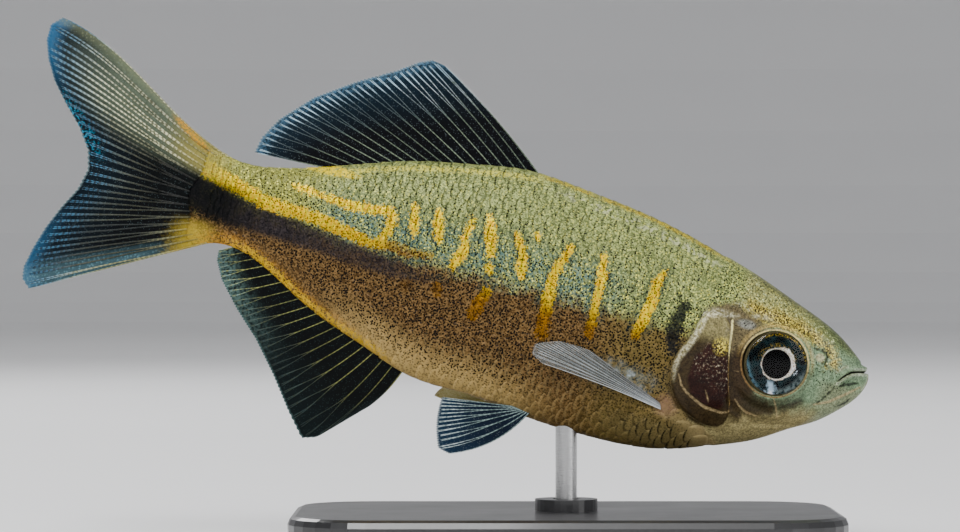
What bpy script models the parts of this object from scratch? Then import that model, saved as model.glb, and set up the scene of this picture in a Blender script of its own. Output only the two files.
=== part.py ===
"""A life-size Bengal danio, swimming nose down, on a small display stand.

Places on the fish are given in millimetres in its own frame: s runs back from the snout along the
body axis, y is positive to the fish's left, and h is the height above the axis.
"""

import math

import bmesh
import bpy
import numpy as np
from mathutils import Vector

MM = 0.001
GAP = 0.3  # between neighbouring pieces
BESIDE = 12.0  # a place well outside the flanks
AHEAD = -4.0  # a place well in front of the snout

# Pose of the fish over the stand
NOSE_DOWN = math.radians(15.0)
SNOUT_X = 30.7
SNOUT_Z = 17.5
SWEEP_START = 30.0  # behind this place the tail swings to the fish's left
SWEEP_LENGTH = 58.0
TAIL_SWEEP = 3.0

# Body: s, back, belly, half width, height of the widest line
BODY_STATIONS = (
    (-0.15, -0.15, -0.15, 0.0, -0.15),
    (0.3, 0.7, -1.8, 0.95, -0.5),
    (1.0, 1.4, -2.85, 1.5, -0.7),
    (2.2, 2.35, -4.1, 2.1, -0.9),
    (4.0, 3.55, -5.65, 2.8, -1.1),
    (6.5, 4.7, -7.15, 3.5, -1.2),
    (9.5, 5.8, -9.05, 4.1, -1.1),
    (13.5, 7.25, -10.75, 4.6, -0.8),
    (19.0, 8.8, -12.55, 4.9, -0.2),
    (26.0, 10.35, -13.1, 5.0, 0.6),
    (33.0, 11.2, -12.8, 4.8, 1.0),
    (39.0, 11.55, -12.2, 4.4, 1.2),
    (45.0, 10.6, -11.95, 3.8, 1.3),
    (51.0, 9.3, -10.0, 3.1, 1.2),
    (57.0, 7.25, -7.8, 2.35, 1.1),
    (63.0, 5.4, -4.75, 1.55, 0.9),
    (67.0, 4.85, -3.85, 1.1, 0.8),
    (70.6, 5.35, -4.7, 0.8, 0.6),
)
BACK_ROUNDNESS = 2.15  # exponents of the section's upper and lower halves
BELLY_ROUNDNESS = 1.9
BODY_RINGS = 38
RING_SIDES = 36

# Head
EYE_S, EYE_H = 9.8, -1.0
EYE_RADIUS = 3.3
EYE_DEPTH = 2.0  # half thickness of the eyeball, from cornea to back
EYE_BULGE = 0.55  # how far the cornea stands out of the cheek
EYE_YAW = math.radians(9.0)
ORBIT_RIM_RADIUS = 0.33  # thickness of the raised ring of skin round the eye
ORBIT_RIM_DEPTH = 0.1
MOUTH_LINE = ((-3.0, 0.62), (-0.2, 0.6), (0.5, 0.5), (1.2, 0.35), (1.9, 0.1), (2.5, -0.4), (3.1, -1.15))
JAW_BACK = ((3.75, -2.3), (4.45, -3.4), (4.9, -4.6), (5.3, -6.0), (5.7, -9.0))
MOUTH_CORNER_S = 3.1
LIP_RADIUS = 0.27
LIP_DEPTH = 0.2  # how far the middle of a lip lies under the skin
NOSTRILS = ((4.6, 1.45), (5.45, 1.2))
NOSTRIL_RADIUS = 0.36

# Gill cover, from its front along the top and round its free edge
GILL_COVER = (
    (14.4, -0.6), (15.0, 1.6), (16.3, 2.2), (17.5, 1.6), (18.35, -0.4), (19.0, -2.7), (19.05, -4.6),
    (18.6, -6.0), (17.6, -7.4), (16.0, -8.3), (14.2, -8.4), (13.0, -7.2), (13.4, -3.8),
)
GILL_COVER_INNER_Y = 2.6
GILL_COVER_STEP = 0.25  # how far the cover stands proud of the flank
NECK_LINE = (
    (16.4, 14.0), (16.6, 8.0), (16.9, 4.4), (17.9, 2.2), (18.75, -0.3), (19.4, -2.6), (19.45, -4.7),
    (19.0, -6.2), (17.9, -7.8), (16.2, -8.8), (14.4, -9.3), (13.1, -10.6), (12.4, -14.0),
)

# Tail stem
STEM_START = 58.6
FIN_ROOT_S = 69.1  # rear end of the stem at its upper and lower corners
FIN_ROOT_BULGE = 1.0
FIN_ROOT_MIDDLE = 0.45
FIN_ROOT_HALF = 4.75

# Fins: the share of the way from the leading ray to the last, then s and h of that ray's tip
DORSAL_BASE = (37.4, 57.9)
DORSAL_MARGIN = (
    (0.0, 50.0, 19.7), (0.06, 51.3, 19.9), (0.14, 52.6, 19.3), (0.25, 54.4, 18.0), (0.42, 58.3, 15.7),
    (0.62, 62.0, 13.1), (0.82, 64.9, 10.0), (0.93, 66.1, 7.8), (1.0, 66.4, 6.1),
)
DORSAL_RAYS = 18
DORSAL_BOW = 0.025  # how far the leading ray bends forward, as a share of its length
ANAL_BASE = (45.9, 65.3)
ANAL_MARGIN = (
    (0.0, 48.5, -16.1), (0.06, 52.7, -20.4), (0.1, 54.2, -20.9), (0.175, 56.3, -18.5), (0.31, 58.7, -15.4),
    (0.48, 61.4, -12.3), (0.64, 64.0, -9.9), (0.8, 66.3, -7.4), (0.92, 67.3, -5.6), (1.0, 67.4, -4.6),
)
ANAL_RAYS = 19
ANAL_BOW = 0.05
CAUDAL_MARGIN = (
    (0.0, 89.2, 14.4), (0.05, 90.2, 13.4), (0.12, 90.2, 11.8), (0.2, 89.5, 9.9), (0.28, 88.3, 7.9),
    (0.35, 86.6, 6.0), (0.42, 84.6, 4.0), (0.48, 83.1, 1.9), (0.53, 82.6, 0.0), (0.6, 83.1, -2.2),
    (0.68, 84.3, -4.5), (0.76, 85.3, -6.9), (0.84, 86.0, -9.3), (0.92, 86.4, -11.4), (0.97, 86.2, -12.6),
    (1.0, 85.3, -13.4),
)
CAUDAL_RAYS = 19
CAUDAL_BOW = 0.45
CAUDAL_BEND_TURN = 0.36  # where along its length the upper edge changes from hollow to full

MEMBRANE_HALF = 0.25  # half the thickness of a fin between its rays
RAY_RISE = 0.17  # how far a ray stands out on each side at its root
RAY_TIP_RISE = 0.05
RAY_HALF_WIDTH = 0.24  # share of the distance between two rays
RAY_OVERHANG = 0.4  # how far the rays' tips pass the membrane
FIN_ROWS = (0.0, 0.12, 0.4, 0.7, 1.0)
ROOT_SWELLING = 0.2  # flesh on both sides of a fin's root
ROOT_SWELLING_REACH = 0.2

PECTORAL_ROOT = ((20.1, -8.7), (20.6, -7.6))  # s and h of the first and last rays' roots
PECTORAL_RAYS = 10
PECTORAL_LENGTHS = ((0.0, 13.4), (0.12, 14.6), (0.35, 14.5), (0.7, 12.2), (1.0, 8.8))
PECTORAL_LEADING = (14.1, 2.9, 1.85)  # directions of the first and last rays: back, outward, up
PECTORAL_INNER = (9.3, 1.2, 3.5)
PECTORAL_BOW = -0.015
PELVIC_ROOT = (32.4, 33.7)  # s of the first and last rays' roots
PELVIC_Y = 1.1
PELVIC_RAYS = 8
PELVIC_LENGTHS = ((0.0, 9.4), (0.15, 10.0), (0.5, 9.1), (1.0, 7.8))
PELVIC_RIGHT_LEADING = (7.4, 1.9, -6.6)
PELVIC_RIGHT_INNER = (7.7, 0.6, -1.0)
PELVIC_LEFT_LEADING = (9.8, 3.0, -1.3)
PELVIC_LEFT_INNER = (7.9, 0.5, 0.0)
PELVIC_BOW = 0.1

# Stand, in the world's millimetres
BASE_LENGTH = 56.0
BASE_WIDTH = 34.0
BASE_HEIGHT = 4.0
BASE_CORNER = 8.0
BASE_EDGE = 0.8
BOSS_RADIUS = 3.2
BOSS_HEIGHT = 1.2
ROD_RADIUS = 1.1
ROD_FOOT_Z = 1.5
ROD_TOP_Z = 16.0

# Colours: red, green, blue and roughness
COLOURS = {
    "skin_olive": (0.33, 0.33, 0.17, 0.35),
    "skin_silver": (0.42, 0.38, 0.25, 0.3),
    "gill_cover_brown": (0.16, 0.11, 0.08, 0.3),
    "fin_dark": (0.05, 0.07, 0.09, 0.4),
    "fin_clear": (0.4, 0.42, 0.44, 0.35),
    "eye_black": (0.01, 0.015, 0.02, 0.08),
    "stand_grey": (0.12, 0.12, 0.12, 0.45),
    "rod_steel": (0.5, 0.5, 0.5, 0.3),
}


def natural_spline(places, values):
    """A smooth curve through the values, as a function of place."""
    x = np.array(places, float)
    y = np.array(values, float).reshape(len(x), -1)
    step = np.diff(x)
    matrix = np.eye(len(x))
    right = np.zeros_like(y)
    for i in range(1, len(x) - 1):
        matrix[i, i - 1 : i + 2] = step[i - 1], 2 * (step[i - 1] + step[i]), step[i]
        right[i] = 6 * ((y[i + 1] - y[i]) / step[i] - (y[i] - y[i - 1]) / step[i - 1])
    bend = np.linalg.solve(matrix, right)

    def at(place):
        i = int(np.clip(np.searchsorted(x, place) - 1, 0, len(x) - 2))
        a = (x[i + 1] - place) / step[i]
        b = 1 - a
        curved = ((a**3 - a) * bend[i] + (b**3 - b) * bend[i + 1]) * step[i] ** 2 / 6
        return a * y[i] + b * y[i + 1] + curved

    return at


def smooth_line(points, count):
    """count points along a smooth open curve through the given ones."""
    curve = natural_spline(range(len(points)), points)
    return [tuple(curve(t)) for t in np.linspace(0, len(points) - 1, count)]


def smooth_loop(points, count):
    """count points along a smooth closed curve through the given ones."""
    wrap = 3
    ring = [*points[-wrap:], *points, *points[: wrap + 1]]
    curve = natural_spline(range(-wrap, len(points) + wrap + 1), ring)
    return [tuple(curve(t)) for t in np.linspace(0, len(points), count, endpoint=False)]


def offset_line(points, distance, closed=False):
    """The line moved sideways, to the right of its direction, by the distance."""
    p = np.array(points, float)
    ahead = np.roll(p, -1, 0)
    behind = np.roll(p, 1, 0)
    if not closed:
        ahead[-1] = p[-1]
        behind[0] = p[0]
    along = ahead - behind
    along /= np.linalg.norm(along, axis=1)[:, None]
    return [tuple(q) for q in p + distance * np.column_stack((along[:, 1], -along[:, 0]))]


NOSE_S = BODY_STATIONS[0][0]
BODY_END = BODY_STATIONS[-1][0]
station_places = [math.sqrt(row[0] - NOSE_S) for row in BODY_STATIONS]
body_curve = natural_spline(station_places, [row[1:] for row in BODY_STATIONS])


def body_at(s):
    """Back, belly, half width and height of the widest line at s."""
    return body_curve(math.sqrt(max(s - NOSE_S, 0.0)))


def flank_y(s, h):
    """Distance of the skin from the middle plane at s and h."""
    back, belly, half_width, widest = body_at(s)
    if h >= widest:
        reach, roundness = (h - widest) / max(back - widest, 1e-6), BACK_ROUNDNESS
    else:
        reach, roundness = (widest - h) / max(widest - belly, 1e-6), BELLY_ROUNDNESS
    return half_width * max(1 - min(reach, 1.0) ** roundness, 0.0) ** (1 / roundness)


def belly_h(s, y):
    """Height of the skin of the belly at s and y."""
    _, belly, half_width, widest = body_at(s)
    share = (1 - (abs(y) / half_width) ** BELLY_ROUNDNESS) ** (1 / BELLY_ROUNDNESS)
    return widest - (widest - belly) * share


def place(s, y, h):
    """A point of the fish's frame, in the world's metres."""
    swing = TAIL_SWEEP * (max(s - SWEEP_START, 0.0) / SWEEP_LENGTH) ** 2
    x = SNOUT_X - s * math.cos(NOSE_DOWN) + h * math.sin(NOSE_DOWN)
    z = SNOUT_Z + s * math.sin(NOSE_DOWN) + h * math.cos(NOSE_DOWN)
    return Vector((x, y + swing, z)) * MM


def clear_scene():
    for obj in list(bpy.data.objects):
        bpy.data.objects.remove(obj)


def material(name):
    made = bpy.data.materials.get(name)
    if made is None:
        made = bpy.data.materials.new(name)
        made.use_nodes = True
        shader = made.node_tree.nodes["Principled BSDF"]
        *colour, roughness = COLOURS[name]
        shader.inputs["Base Color"].default_value = (*colour, 1.0)
        shader.inputs["Roughness"].default_value = roughness
        shader.inputs["Metallic"].default_value = 1.0 if name == "rod_steel" else 0.0
        made.diffuse_color = (*colour, 1.0)
    return made


def new_object(name, bm, finish=None):
    """An object from a closed mesh, with its faces turned outwards."""
    bm.normal_update()
    bmesh.ops.recalc_face_normals(bm, faces=bm.faces)
    mesh = bpy.data.meshes.new(name)
    bm.to_mesh(mesh)
    bm.free()
    obj = bpy.data.objects.new(name, mesh)
    bpy.context.scene.collection.objects.link(obj)
    if finish:
        mesh.materials.append(material(finish))
    return obj


def to_world(bm):
    """Moves a mesh made in the fish's frame into the world."""
    for vertex in bm.verts:
        vertex.co = place(*vertex.co)


def body_mesh(extra=0.0):
    """The whole body from snout to tail root, as a loft of rings."""
    bm = bmesh.new()
    rings = []
    half = RING_SIDES // 2
    for n in range(1, BODY_RINGS + 1):
        s = NOSE_S + (BODY_END - NOSE_S) * (n / BODY_RINGS) ** 2
        back, belly, half_width, widest = body_at(s)
        ring = []
        for k in range(RING_SIDES):
            turn = math.pi * k / half
            reach = math.cos(turn)
            height = back - widest if reach > 0 else widest - belly
            roundness = BACK_ROUNDNESS if reach > 0 else BELLY_ROUNDNESS
            out = max(1 - abs(reach) ** roundness, 0.0) ** (1 / roundness)
            y = math.copysign((half_width + extra) * out, math.sin(turn)) if 0 < k % half else 0.0
            ring.append(bm.verts.new((s, y, widest + height * reach)))
        rings.append(ring)
    nose = bm.verts.new((NOSE_S, 0.0, BODY_STATIONS[0][1]))
    for k in range(RING_SIDES):
        after = (k + 1) % RING_SIDES
        bm.faces.new((nose, rings[0][k], rings[0][after]))
        for ring, following in zip(rings, rings[1:]):
            bm.faces.new((ring[k], following[k], following[after], ring[after]))
    bm.faces.new(rings[-1])
    to_world(bm)
    return bm


def prism(name, outline, y_low=-BESIDE, y_high=BESIDE):
    """A block with the outline given in s and h, from y_low to y_high."""
    bm = bmesh.new()
    near = [bm.verts.new((s, y_low, h)) for s, h in outline]
    far = [bm.verts.new((s, y_high, h)) for s, h in outline]
    bm.faces.new(near)
    bm.faces.new(far)
    for k in range(len(outline)):
        after = (k + 1) % len(outline)
        bm.faces.new((near[k], near[after], far[after], far[k]))
    to_world(bm)
    return new_object(name, bm)


def ellipsoid(name, centre, radii, yaw=0.0, finish=None, segments=20, rings=12):
    """An ellipsoid in the fish's frame, turned about the upright axis."""
    bm = bmesh.new()
    bmesh.ops.create_uvsphere(bm, u_segments=segments, v_segments=rings, radius=1.0)
    for vertex in bm.verts:
        s, h, y = vertex.co
        s, y, h = s * radii[0], y * radii[1], h * radii[2]
        turned = (s * math.cos(yaw) - y * math.sin(yaw), s * math.sin(yaw) + y * math.cos(yaw), h)
        vertex.co = Vector(centre) + Vector(turned)
    to_world(bm)
    return new_object(name, bm, finish)


def ring_of_skin(name, centre, radius, thickness, yaw):
    """A ring round the eye, in the fish's frame."""
    bm = bmesh.new()
    around, across = 28, 6
    rings = []
    for n in range(around):
        turn = 2 * math.pi * n / around
        ring = []
        for k in range(across):
            bend = 2 * math.pi * k / across
            reach = radius + thickness * math.cos(bend)
            s, y, h = reach * math.cos(turn), thickness * math.sin(bend), reach * math.sin(turn)
            turned = (s * math.cos(yaw) - y * math.sin(yaw), s * math.sin(yaw) + y * math.cos(yaw), h)
            ring.append(bm.verts.new(Vector(centre) + Vector(turned)))
        rings.append(ring)
    for n in range(around):
        for k in range(across):
            a, b = rings[n], rings[(n + 1) % around]
            bm.faces.new((a[k], a[(k + 1) % across], b[(k + 1) % across], b[k]))
    to_world(bm)
    return new_object(name, bm)


def tube(name, points, radii):
    """A closed round bar through points of the fish's frame."""
    curve = bpy.data.curves.new(name, "CURVE")
    curve.dimensions = "3D"
    curve.bevel_depth = MM
    curve.bevel_resolution = 1
    curve.use_fill_caps = True
    line = curve.splines.new("POLY")
    line.points.add(len(points) - 1)
    for point, at, radius in zip(line.points, points, radii):
        point.co = (*place(*at), 1.0)
        point.radius = radius
    guide = bpy.data.objects.new(name, curve)
    bpy.context.scene.collection.objects.link(guide)
    bpy.context.view_layer.update()
    bm = bmesh.new()
    bm.from_mesh(guide.to_mesh())
    bmesh.ops.remove_doubles(bm, verts=bm.verts, dist=1e-6)
    bpy.data.objects.remove(guide)
    return new_object(name, bm)


def combine(obj, operation, others):
    """Applies one Boolean with a collection of closed objects, then removes them."""
    group = bpy.data.collections.new("tools")
    bpy.context.scene.collection.children.link(group)
    for other in others:
        bpy.context.scene.collection.objects.unlink(other)
        group.objects.link(other)
    step = obj.modifiers.new("combine", "BOOLEAN")
    step.operation = operation
    step.operand_type = "COLLECTION"
    step.collection = group
    step.solver = "EXACT"
    bpy.context.view_layer.update()
    graph = bpy.context.evaluated_depsgraph_get()
    mesh = bpy.data.meshes.new_from_object(obj.evaluated_get(graph), depsgraph=graph)
    obj.modifiers.clear()
    finishes = list(obj.data.materials)
    obj.data = mesh
    mesh.materials.clear()
    for finish in finishes:
        mesh.materials.append(finish)
    for other in others:
        bpy.data.objects.remove(other)
    bpy.data.collections.remove(group)
    keep_largest(obj)


def keep_largest(obj):
    """Leaves only the object's largest closed surface."""
    bm = bmesh.new()
    bm.from_mesh(obj.data)
    unseen = set(bm.verts)
    pieces = []
    while unseen:
        piece, edge = set(), [unseen.pop()]
        while edge:
            vertex = edge.pop()
            piece.add(vertex)
            for link in vertex.link_edges:
                other = link.other_vert(vertex)
                if other in unseen:
                    unseen.discard(other)
                    edge.append(other)
        pieces.append(piece)
    largest = max(pieces, key=lambda piece: max(v.co.x for v in piece) - min(v.co.x for v in piece))
    bmesh.ops.delete(bm, geom=[v for v in bm.verts if v not in largest], context="VERTS")
    bm.to_mesh(obj.data)
    bm.free()


def body_piece(name, outline, finish, extra=0.0, **reach):
    """The part of the body that lies inside an outline in s and h."""
    obj = new_object(name, body_mesh(extra), finish)
    combine(obj, "INTERSECT", [prism("outline", outline, **reach)])
    return obj


def eye_centre(side):
    y = flank_y(EYE_S, EYE_H) + EYE_BULGE - EYE_DEPTH
    return EYE_S, side * y, EYE_H


def jaw_line():
    return smooth_line((*MOUTH_LINE, *JAW_BACK), 34)


def lip(name, rise):
    """A lip from one corner of the mouth round the snout to the other, rise above the mouth's line."""
    line = natural_spline([s for s, _ in MOUTH_LINE], [h for _, h in MOUTH_LINE])
    front = next(s for s in np.arange(NOSE_S, 2.0, 0.02) if flank_y(s, line(s)[0] + rise) > 0.02)
    side = []
    count = 9
    for n in range(count + 1):
        s = front + (MOUTH_CORNER_S - front) * (n / count) ** 1.6
        h = line(s)[0] + rise
        y = max(flank_y(s + LIP_DEPTH, h) - LIP_DEPTH, 0.0) if n else 0.0
        side.append((s + LIP_DEPTH, y, h, LIP_RADIUS * (1 - 0.55 * (n / count) ** 2)))
    path = [(s, -y, h, radius) for s, y, h, radius in reversed(side[1:])] + side
    return tube(name, [p[:3] for p in path], [p[3] for p in path])


def make_head():
    neck = smooth_line(NECK_LINE, 44)
    front = offset_line(neck, GAP / 2)
    outline = [*front, (AHEAD, front[-1][1]), (AHEAD, front[0][1])]
    head = body_piece("head", outline, "skin_silver")
    rims = []
    for side in (-1, 1):
        s, y, h = eye_centre(side)
        out = side * (EYE_DEPTH - EYE_BULGE - ORBIT_RIM_DEPTH)
        radius = EYE_RADIUS + ORBIT_RIM_RADIUS
        rims.append(ring_of_skin("rim", (s, y + out, h), radius, ORBIT_RIM_RADIUS, side * EYE_YAW))
    combine(head, "UNION", [*rims, lip("upper_lip", GAP / 2 + LIP_RADIUS * 0.7)])
    jaw = offset_line(jaw_line(), -GAP / 2)
    tools = [prism("jaw_space", [*jaw, (AHEAD - 1, jaw[-1][1]), (AHEAD - 1, jaw[0][1])])]
    cover = offset_line(smooth_loop(GILL_COVER, 40), -GAP, closed=True)
    for side in (-1, 1):
        low, high = sorted((side * (GILL_COVER_INNER_Y - GAP), side * BESIDE))
        tools.append(prism("cover_space", cover, low, high))
        radii = (EYE_RADIUS + GAP, EYE_DEPTH + GAP, EYE_RADIUS + GAP)
        tools.append(ellipsoid("socket", eye_centre(side), radii, side * EYE_YAW))
        for s, h in NOSTRILS:
            at = (s, side * flank_y(s, h), h)
            tools.append(ellipsoid("nostril", at, [NOSTRIL_RADIUS] * 3, segments=8, rings=6))
    combine(head, "DIFFERENCE", tools)


def make_lower_jaw():
    line = offset_line(jaw_line(), GAP / 2)
    jaw = body_piece("lower_jaw", [*line, (AHEAD, line[-1][1]), (AHEAD, line[0][1])], "skin_silver")
    combine(jaw, "UNION", [lip("lower_lip", -GAP / 2 - LIP_RADIUS * 0.75)])
    line = offset_line(jaw_line(), GAP / 2)
    behind, over = line[-1][0] + 1.0, line[0][1] + 3.0
    above = [*line, (behind, line[-1][1]), (behind, over), (AHEAD, over)]
    combine(jaw, "DIFFERENCE", [prism("above", above)])


def make_gill_cover(name, side):
    low, high = sorted((side * GILL_COVER_INNER_Y, side * BESIDE))
    outline = smooth_loop(GILL_COVER, 40)
    body_piece(name, outline, "gill_cover_brown", GILL_COVER_STEP, y_low=low, y_high=high)


def make_eye(name, side):
    radii = (EYE_RADIUS, EYE_DEPTH, EYE_RADIUS)
    ellipsoid(name, eye_centre(side), radii, side * EYE_YAW, "eye_black", segments=24, rings=12)


def make_trunk():
    neck = smooth_line(NECK_LINE, 44)
    behind = offset_line(neck, -GAP / 2)
    end = STEM_START - GAP / 2
    trunk = body_piece("trunk", [*behind, (end, behind[-1][1]), (end, behind[0][1])], "skin_olive")
    socket = new_object("socket", cylinder(ROD_RADIUS + GAP, 0.0, ROD_TOP_Z + GAP))
    combine(trunk, "DIFFERENCE", [socket])


def stem_end(h):
    """Where the tail stem ends at height h."""
    return FIN_ROOT_S + FIN_ROOT_BULGE * (1 - ((h - FIN_ROOT_MIDDLE) / FIN_ROOT_HALF) ** 2)


def make_stem():
    start = STEM_START + GAP / 2
    rear = [(stem_end(h), h) for h in np.linspace(-6.0, 7.0, 15)]
    body_piece("caudal_peduncle", [(start, -9.0), *rear, (start, 9.0)], "skin_olive")


def blade(name, centre, across, half, finish):
    """A closed thin fin whose faces are split alike. centre holds its middle surface by column and row."""
    bm = bmesh.new()
    faces = []
    for way in (1, -1):
        grid = []
        for column, thick in zip(centre, half):
            grid.append([bm.verts.new(point + way * t * across) for point, t in zip(column, thick)])
        faces.append(grid)
    columns, rows = len(centre), len(centre[0])
    for grid in faces:
        for i in range(columns - 1):
            for j in range(rows - 1):
                a, b, c, d = grid[i][j], grid[i + 1][j], grid[i + 1][j + 1], grid[i][j + 1]
                bm.faces.new((a, b, c))
                bm.faces.new((a, c, d))
    rim = [(i, 0) for i in range(columns)] + [(columns - 1, j) for j in range(1, rows)]
    rim += [(i, rows - 1) for i in range(columns - 2, -1, -1)] + [(0, j) for j in range(rows - 2, 0, -1)]
    for (i, j), (m, n) in zip(rim, rim[1:] + rim[:1]):
        bm.faces.new((faces[0][i][j], faces[0][m][n], faces[1][m][n]))
        bm.faces.new((faces[0][i][j], faces[1][m][n], faces[1][i][j]))
    to_world(bm)
    return new_object(name, bm, finish)


def ray_columns(rays):
    """Each ray's two feet and its crest between them, as places from 0 to 1 and whether it is the crest."""
    spacing = 1 / (rays - 1)
    columns = []
    for n in range(rays):
        for way in (-1, 0, 1):
            u = spacing * (n + way * RAY_HALF_WIDTH)
            if -1e-6 < u < 1 + 1e-6:
                columns.append((u, way == 0))
    return columns


def half_thickness(v, crest):
    swelling = ROOT_SWELLING * max(1 - v / ROOT_SWELLING_REACH, 0.0) ** 2
    rise = RAY_RISE + (RAY_TIP_RISE - RAY_RISE) * v
    return MEMBRANE_HALF * (1 - 0.35 * v) + swelling + (rise if crest else 0.0)


def simple_bend(bow):
    """Rays that bend one way, and the less the further they are from the leading ray."""
    return lambda u, v: bow * (1 - u) ** 3 * 4 * v * (1 - v)


def ribbed_fin(name, rays, line, bend, across, finish):
    """A fin with raised rays. line gives the root and tip of the ray at u, and bend its shift at v."""
    centre, half = [], []
    for u, crest in ray_columns(rays):
        root, tip = line(u)
        along = tip - root
        shortening = 0.0 if crest else RAY_OVERHANG / along.length
        side = along.cross(across)
        column = []
        for row in FIN_ROWS:
            v = row * (1 - shortening)
            column.append(root + along * v + side * bend(u, v))
        centre.append(column)
        half.append([half_thickness(v, crest) for v in FIN_ROWS])
    return blade(name, centre, across, half, finish)


def tip_of(margin, u):
    """Tip of the ray at u on a fin in the middle plane."""
    places, s, h = zip(*margin)
    return Vector((np.interp(u, places, s), 0, np.interp(u, places, h)))


def make_dorsal_fin():
    def line(u):
        s = DORSAL_BASE[0] + (DORSAL_BASE[1] - DORSAL_BASE[0]) * u
        root = Vector((s, 0, body_at(s)[0] + GAP))
        return root, tip_of(DORSAL_MARGIN, u)

    ribbed_fin("dorsal_fin", DORSAL_RAYS, line, simple_bend(DORSAL_BOW), Vector((0, 1, 0)), "fin_dark")


def make_anal_fin():
    def line(u):
        s = ANAL_BASE[0] + (ANAL_BASE[1] - ANAL_BASE[0]) * u
        root = Vector((s, 0, body_at(s)[1] - GAP))
        return root, tip_of(ANAL_MARGIN, u)

    ribbed_fin("anal_fin", ANAL_RAYS, line, simple_bend(-ANAL_BOW), Vector((0, 1, 0)), "fin_dark")


def make_caudal_fin():
    top, bottom = body_at(FIN_ROOT_S)[:2]

    def line(u):
        h = top + (bottom - top) * u
        return Vector((stem_end(h) + GAP, 0, h)), tip_of(CAUDAL_MARGIN, u)

    def bend(u, v):
        return CAUDAL_BOW * (1 - u) ** 3 * v * (1 - v) * (v - CAUDAL_BEND_TURN)

    ribbed_fin("caudal_fin", CAUDAL_RAYS, line, bend, Vector((0, 1, 0)), "fin_dark")


def fan(side, roots, directions, lengths):
    """The rays of a paired fin that spread from a short root, and the direction across the fin."""
    first, last = (Vector((back, side * out, up)).normalized() for back, out, up in directions)
    roots = [Vector(root) for root in roots]

    def line(u):
        root = roots[0].lerp(roots[1], u)
        length = np.interp(u, [row[0] for row in lengths], [row[1] for row in lengths])
        return root, root + first.lerp(last, u).normalized() * length

    return line, first.cross(last).normalized()


def make_pectoral_fin(name, side):
    clear = GAP + MEMBRANE_HALF + RAY_RISE + ROOT_SWELLING
    roots = [(s, side * (flank_y(s, h) + clear), h) for s, h in PECTORAL_ROOT]
    directions = (PECTORAL_LEADING, PECTORAL_INNER)
    line, across = fan(side, roots, directions, PECTORAL_LENGTHS)
    ribbed_fin(name, PECTORAL_RAYS, line, simple_bend(PECTORAL_BOW), across, "fin_clear")


def make_pelvic_fin(name, side, directions):
    clear = GAP + MEMBRANE_HALF + RAY_RISE + ROOT_SWELLING
    roots = [(s, side * PELVIC_Y, belly_h(s, PELVIC_Y) - clear) for s in PELVIC_ROOT]
    line, across = fan(side, roots, directions, PELVIC_LENGTHS)
    ribbed_fin(name, PELVIC_RAYS, line, simple_bend(PELVIC_BOW), across, "fin_dark")


def cylinder(radius, z_low, z_high, sides=32):
    """An upright round bar on the stand's axis."""
    bm = bmesh.new()
    r, depth = radius * MM, (z_high - z_low) * MM
    bmesh.ops.create_cone(bm, cap_ends=True, segments=sides, radius1=r, radius2=r, depth=depth)
    bmesh.ops.translate(bm, verts=bm.verts, vec=(0, 0, (z_low + z_high) / 2 * MM))
    return bm


def make_stand():
    bm = bmesh.new()
    bmesh.ops.create_cube(bm, size=MM)
    bmesh.ops.scale(bm, verts=bm.verts, vec=(BASE_LENGTH, BASE_WIDTH, BASE_HEIGHT))
    bmesh.ops.translate(bm, verts=bm.verts, vec=(0, 0, BASE_HEIGHT / 2 * MM))
    upright = [e for e in bm.edges if abs(e.verts[0].co.z - e.verts[1].co.z) > MM]
    bmesh.ops.bevel(bm, geom=upright, offset=BASE_CORNER * MM, segments=7, profile=0.5, affect="EDGES")
    top = [e for e in bm.edges if all(v.co.z > (BASE_HEIGHT - 0.1) * MM for v in e.verts)]
    bmesh.ops.bevel(bm, geom=top, offset=BASE_EDGE * MM, segments=2, profile=0.5, affect="EDGES")
    base = new_object("stand_base", bm, "stand_grey")
    boss = new_object("boss", cylinder(BOSS_RADIUS, BASE_HEIGHT - 1.0, BASE_HEIGHT + BOSS_HEIGHT))
    combine(base, "UNION", [boss])
    bore = new_object("bore", cylinder(ROD_RADIUS + GAP, ROD_FOOT_Z - GAP, BASE_HEIGHT + 2 * BOSS_HEIGHT))
    combine(base, "DIFFERENCE", [bore])
    new_object("stand_rod", cylinder(ROD_RADIUS, ROD_FOOT_Z, ROD_TOP_Z), "rod_steel")


def shade_round_pieces():
    for obj in bpy.context.scene.objects:
        obj.data.shade_smooth()
        obj.data.set_sharp_from_angle(angle=math.radians(35))


clear_scene()
make_head()
make_lower_jaw()
for side_name, side_way in (("right", -1), ("left", 1)):
    make_gill_cover(f"gill_cover_{side_name}", side_way)
    make_eye(f"eye_{side_name}", side_way)
    make_pectoral_fin(f"pectoral_fin_{side_name}", side_way)
make_trunk()
make_stem()
make_dorsal_fin()
make_anal_fin()
make_caudal_fin()
make_pelvic_fin("pelvic_fin_right", -1, (PELVIC_RIGHT_LEADING, PELVIC_RIGHT_INNER))
make_pelvic_fin("pelvic_fin_left", 1, (PELVIC_LEFT_LEADING, PELVIC_LEFT_INNER))
make_stand()
shade_round_pieces()
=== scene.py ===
"""A life-size Bengal danio on its display stand: skin, scales, eyes, fins, finishes and studio.

Places on the fish are in millimetres in its own frame: s runs back from the snout along the body
axis, y is positive to the fish's left, and h is the height above the axis.
"""

import math

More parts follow.
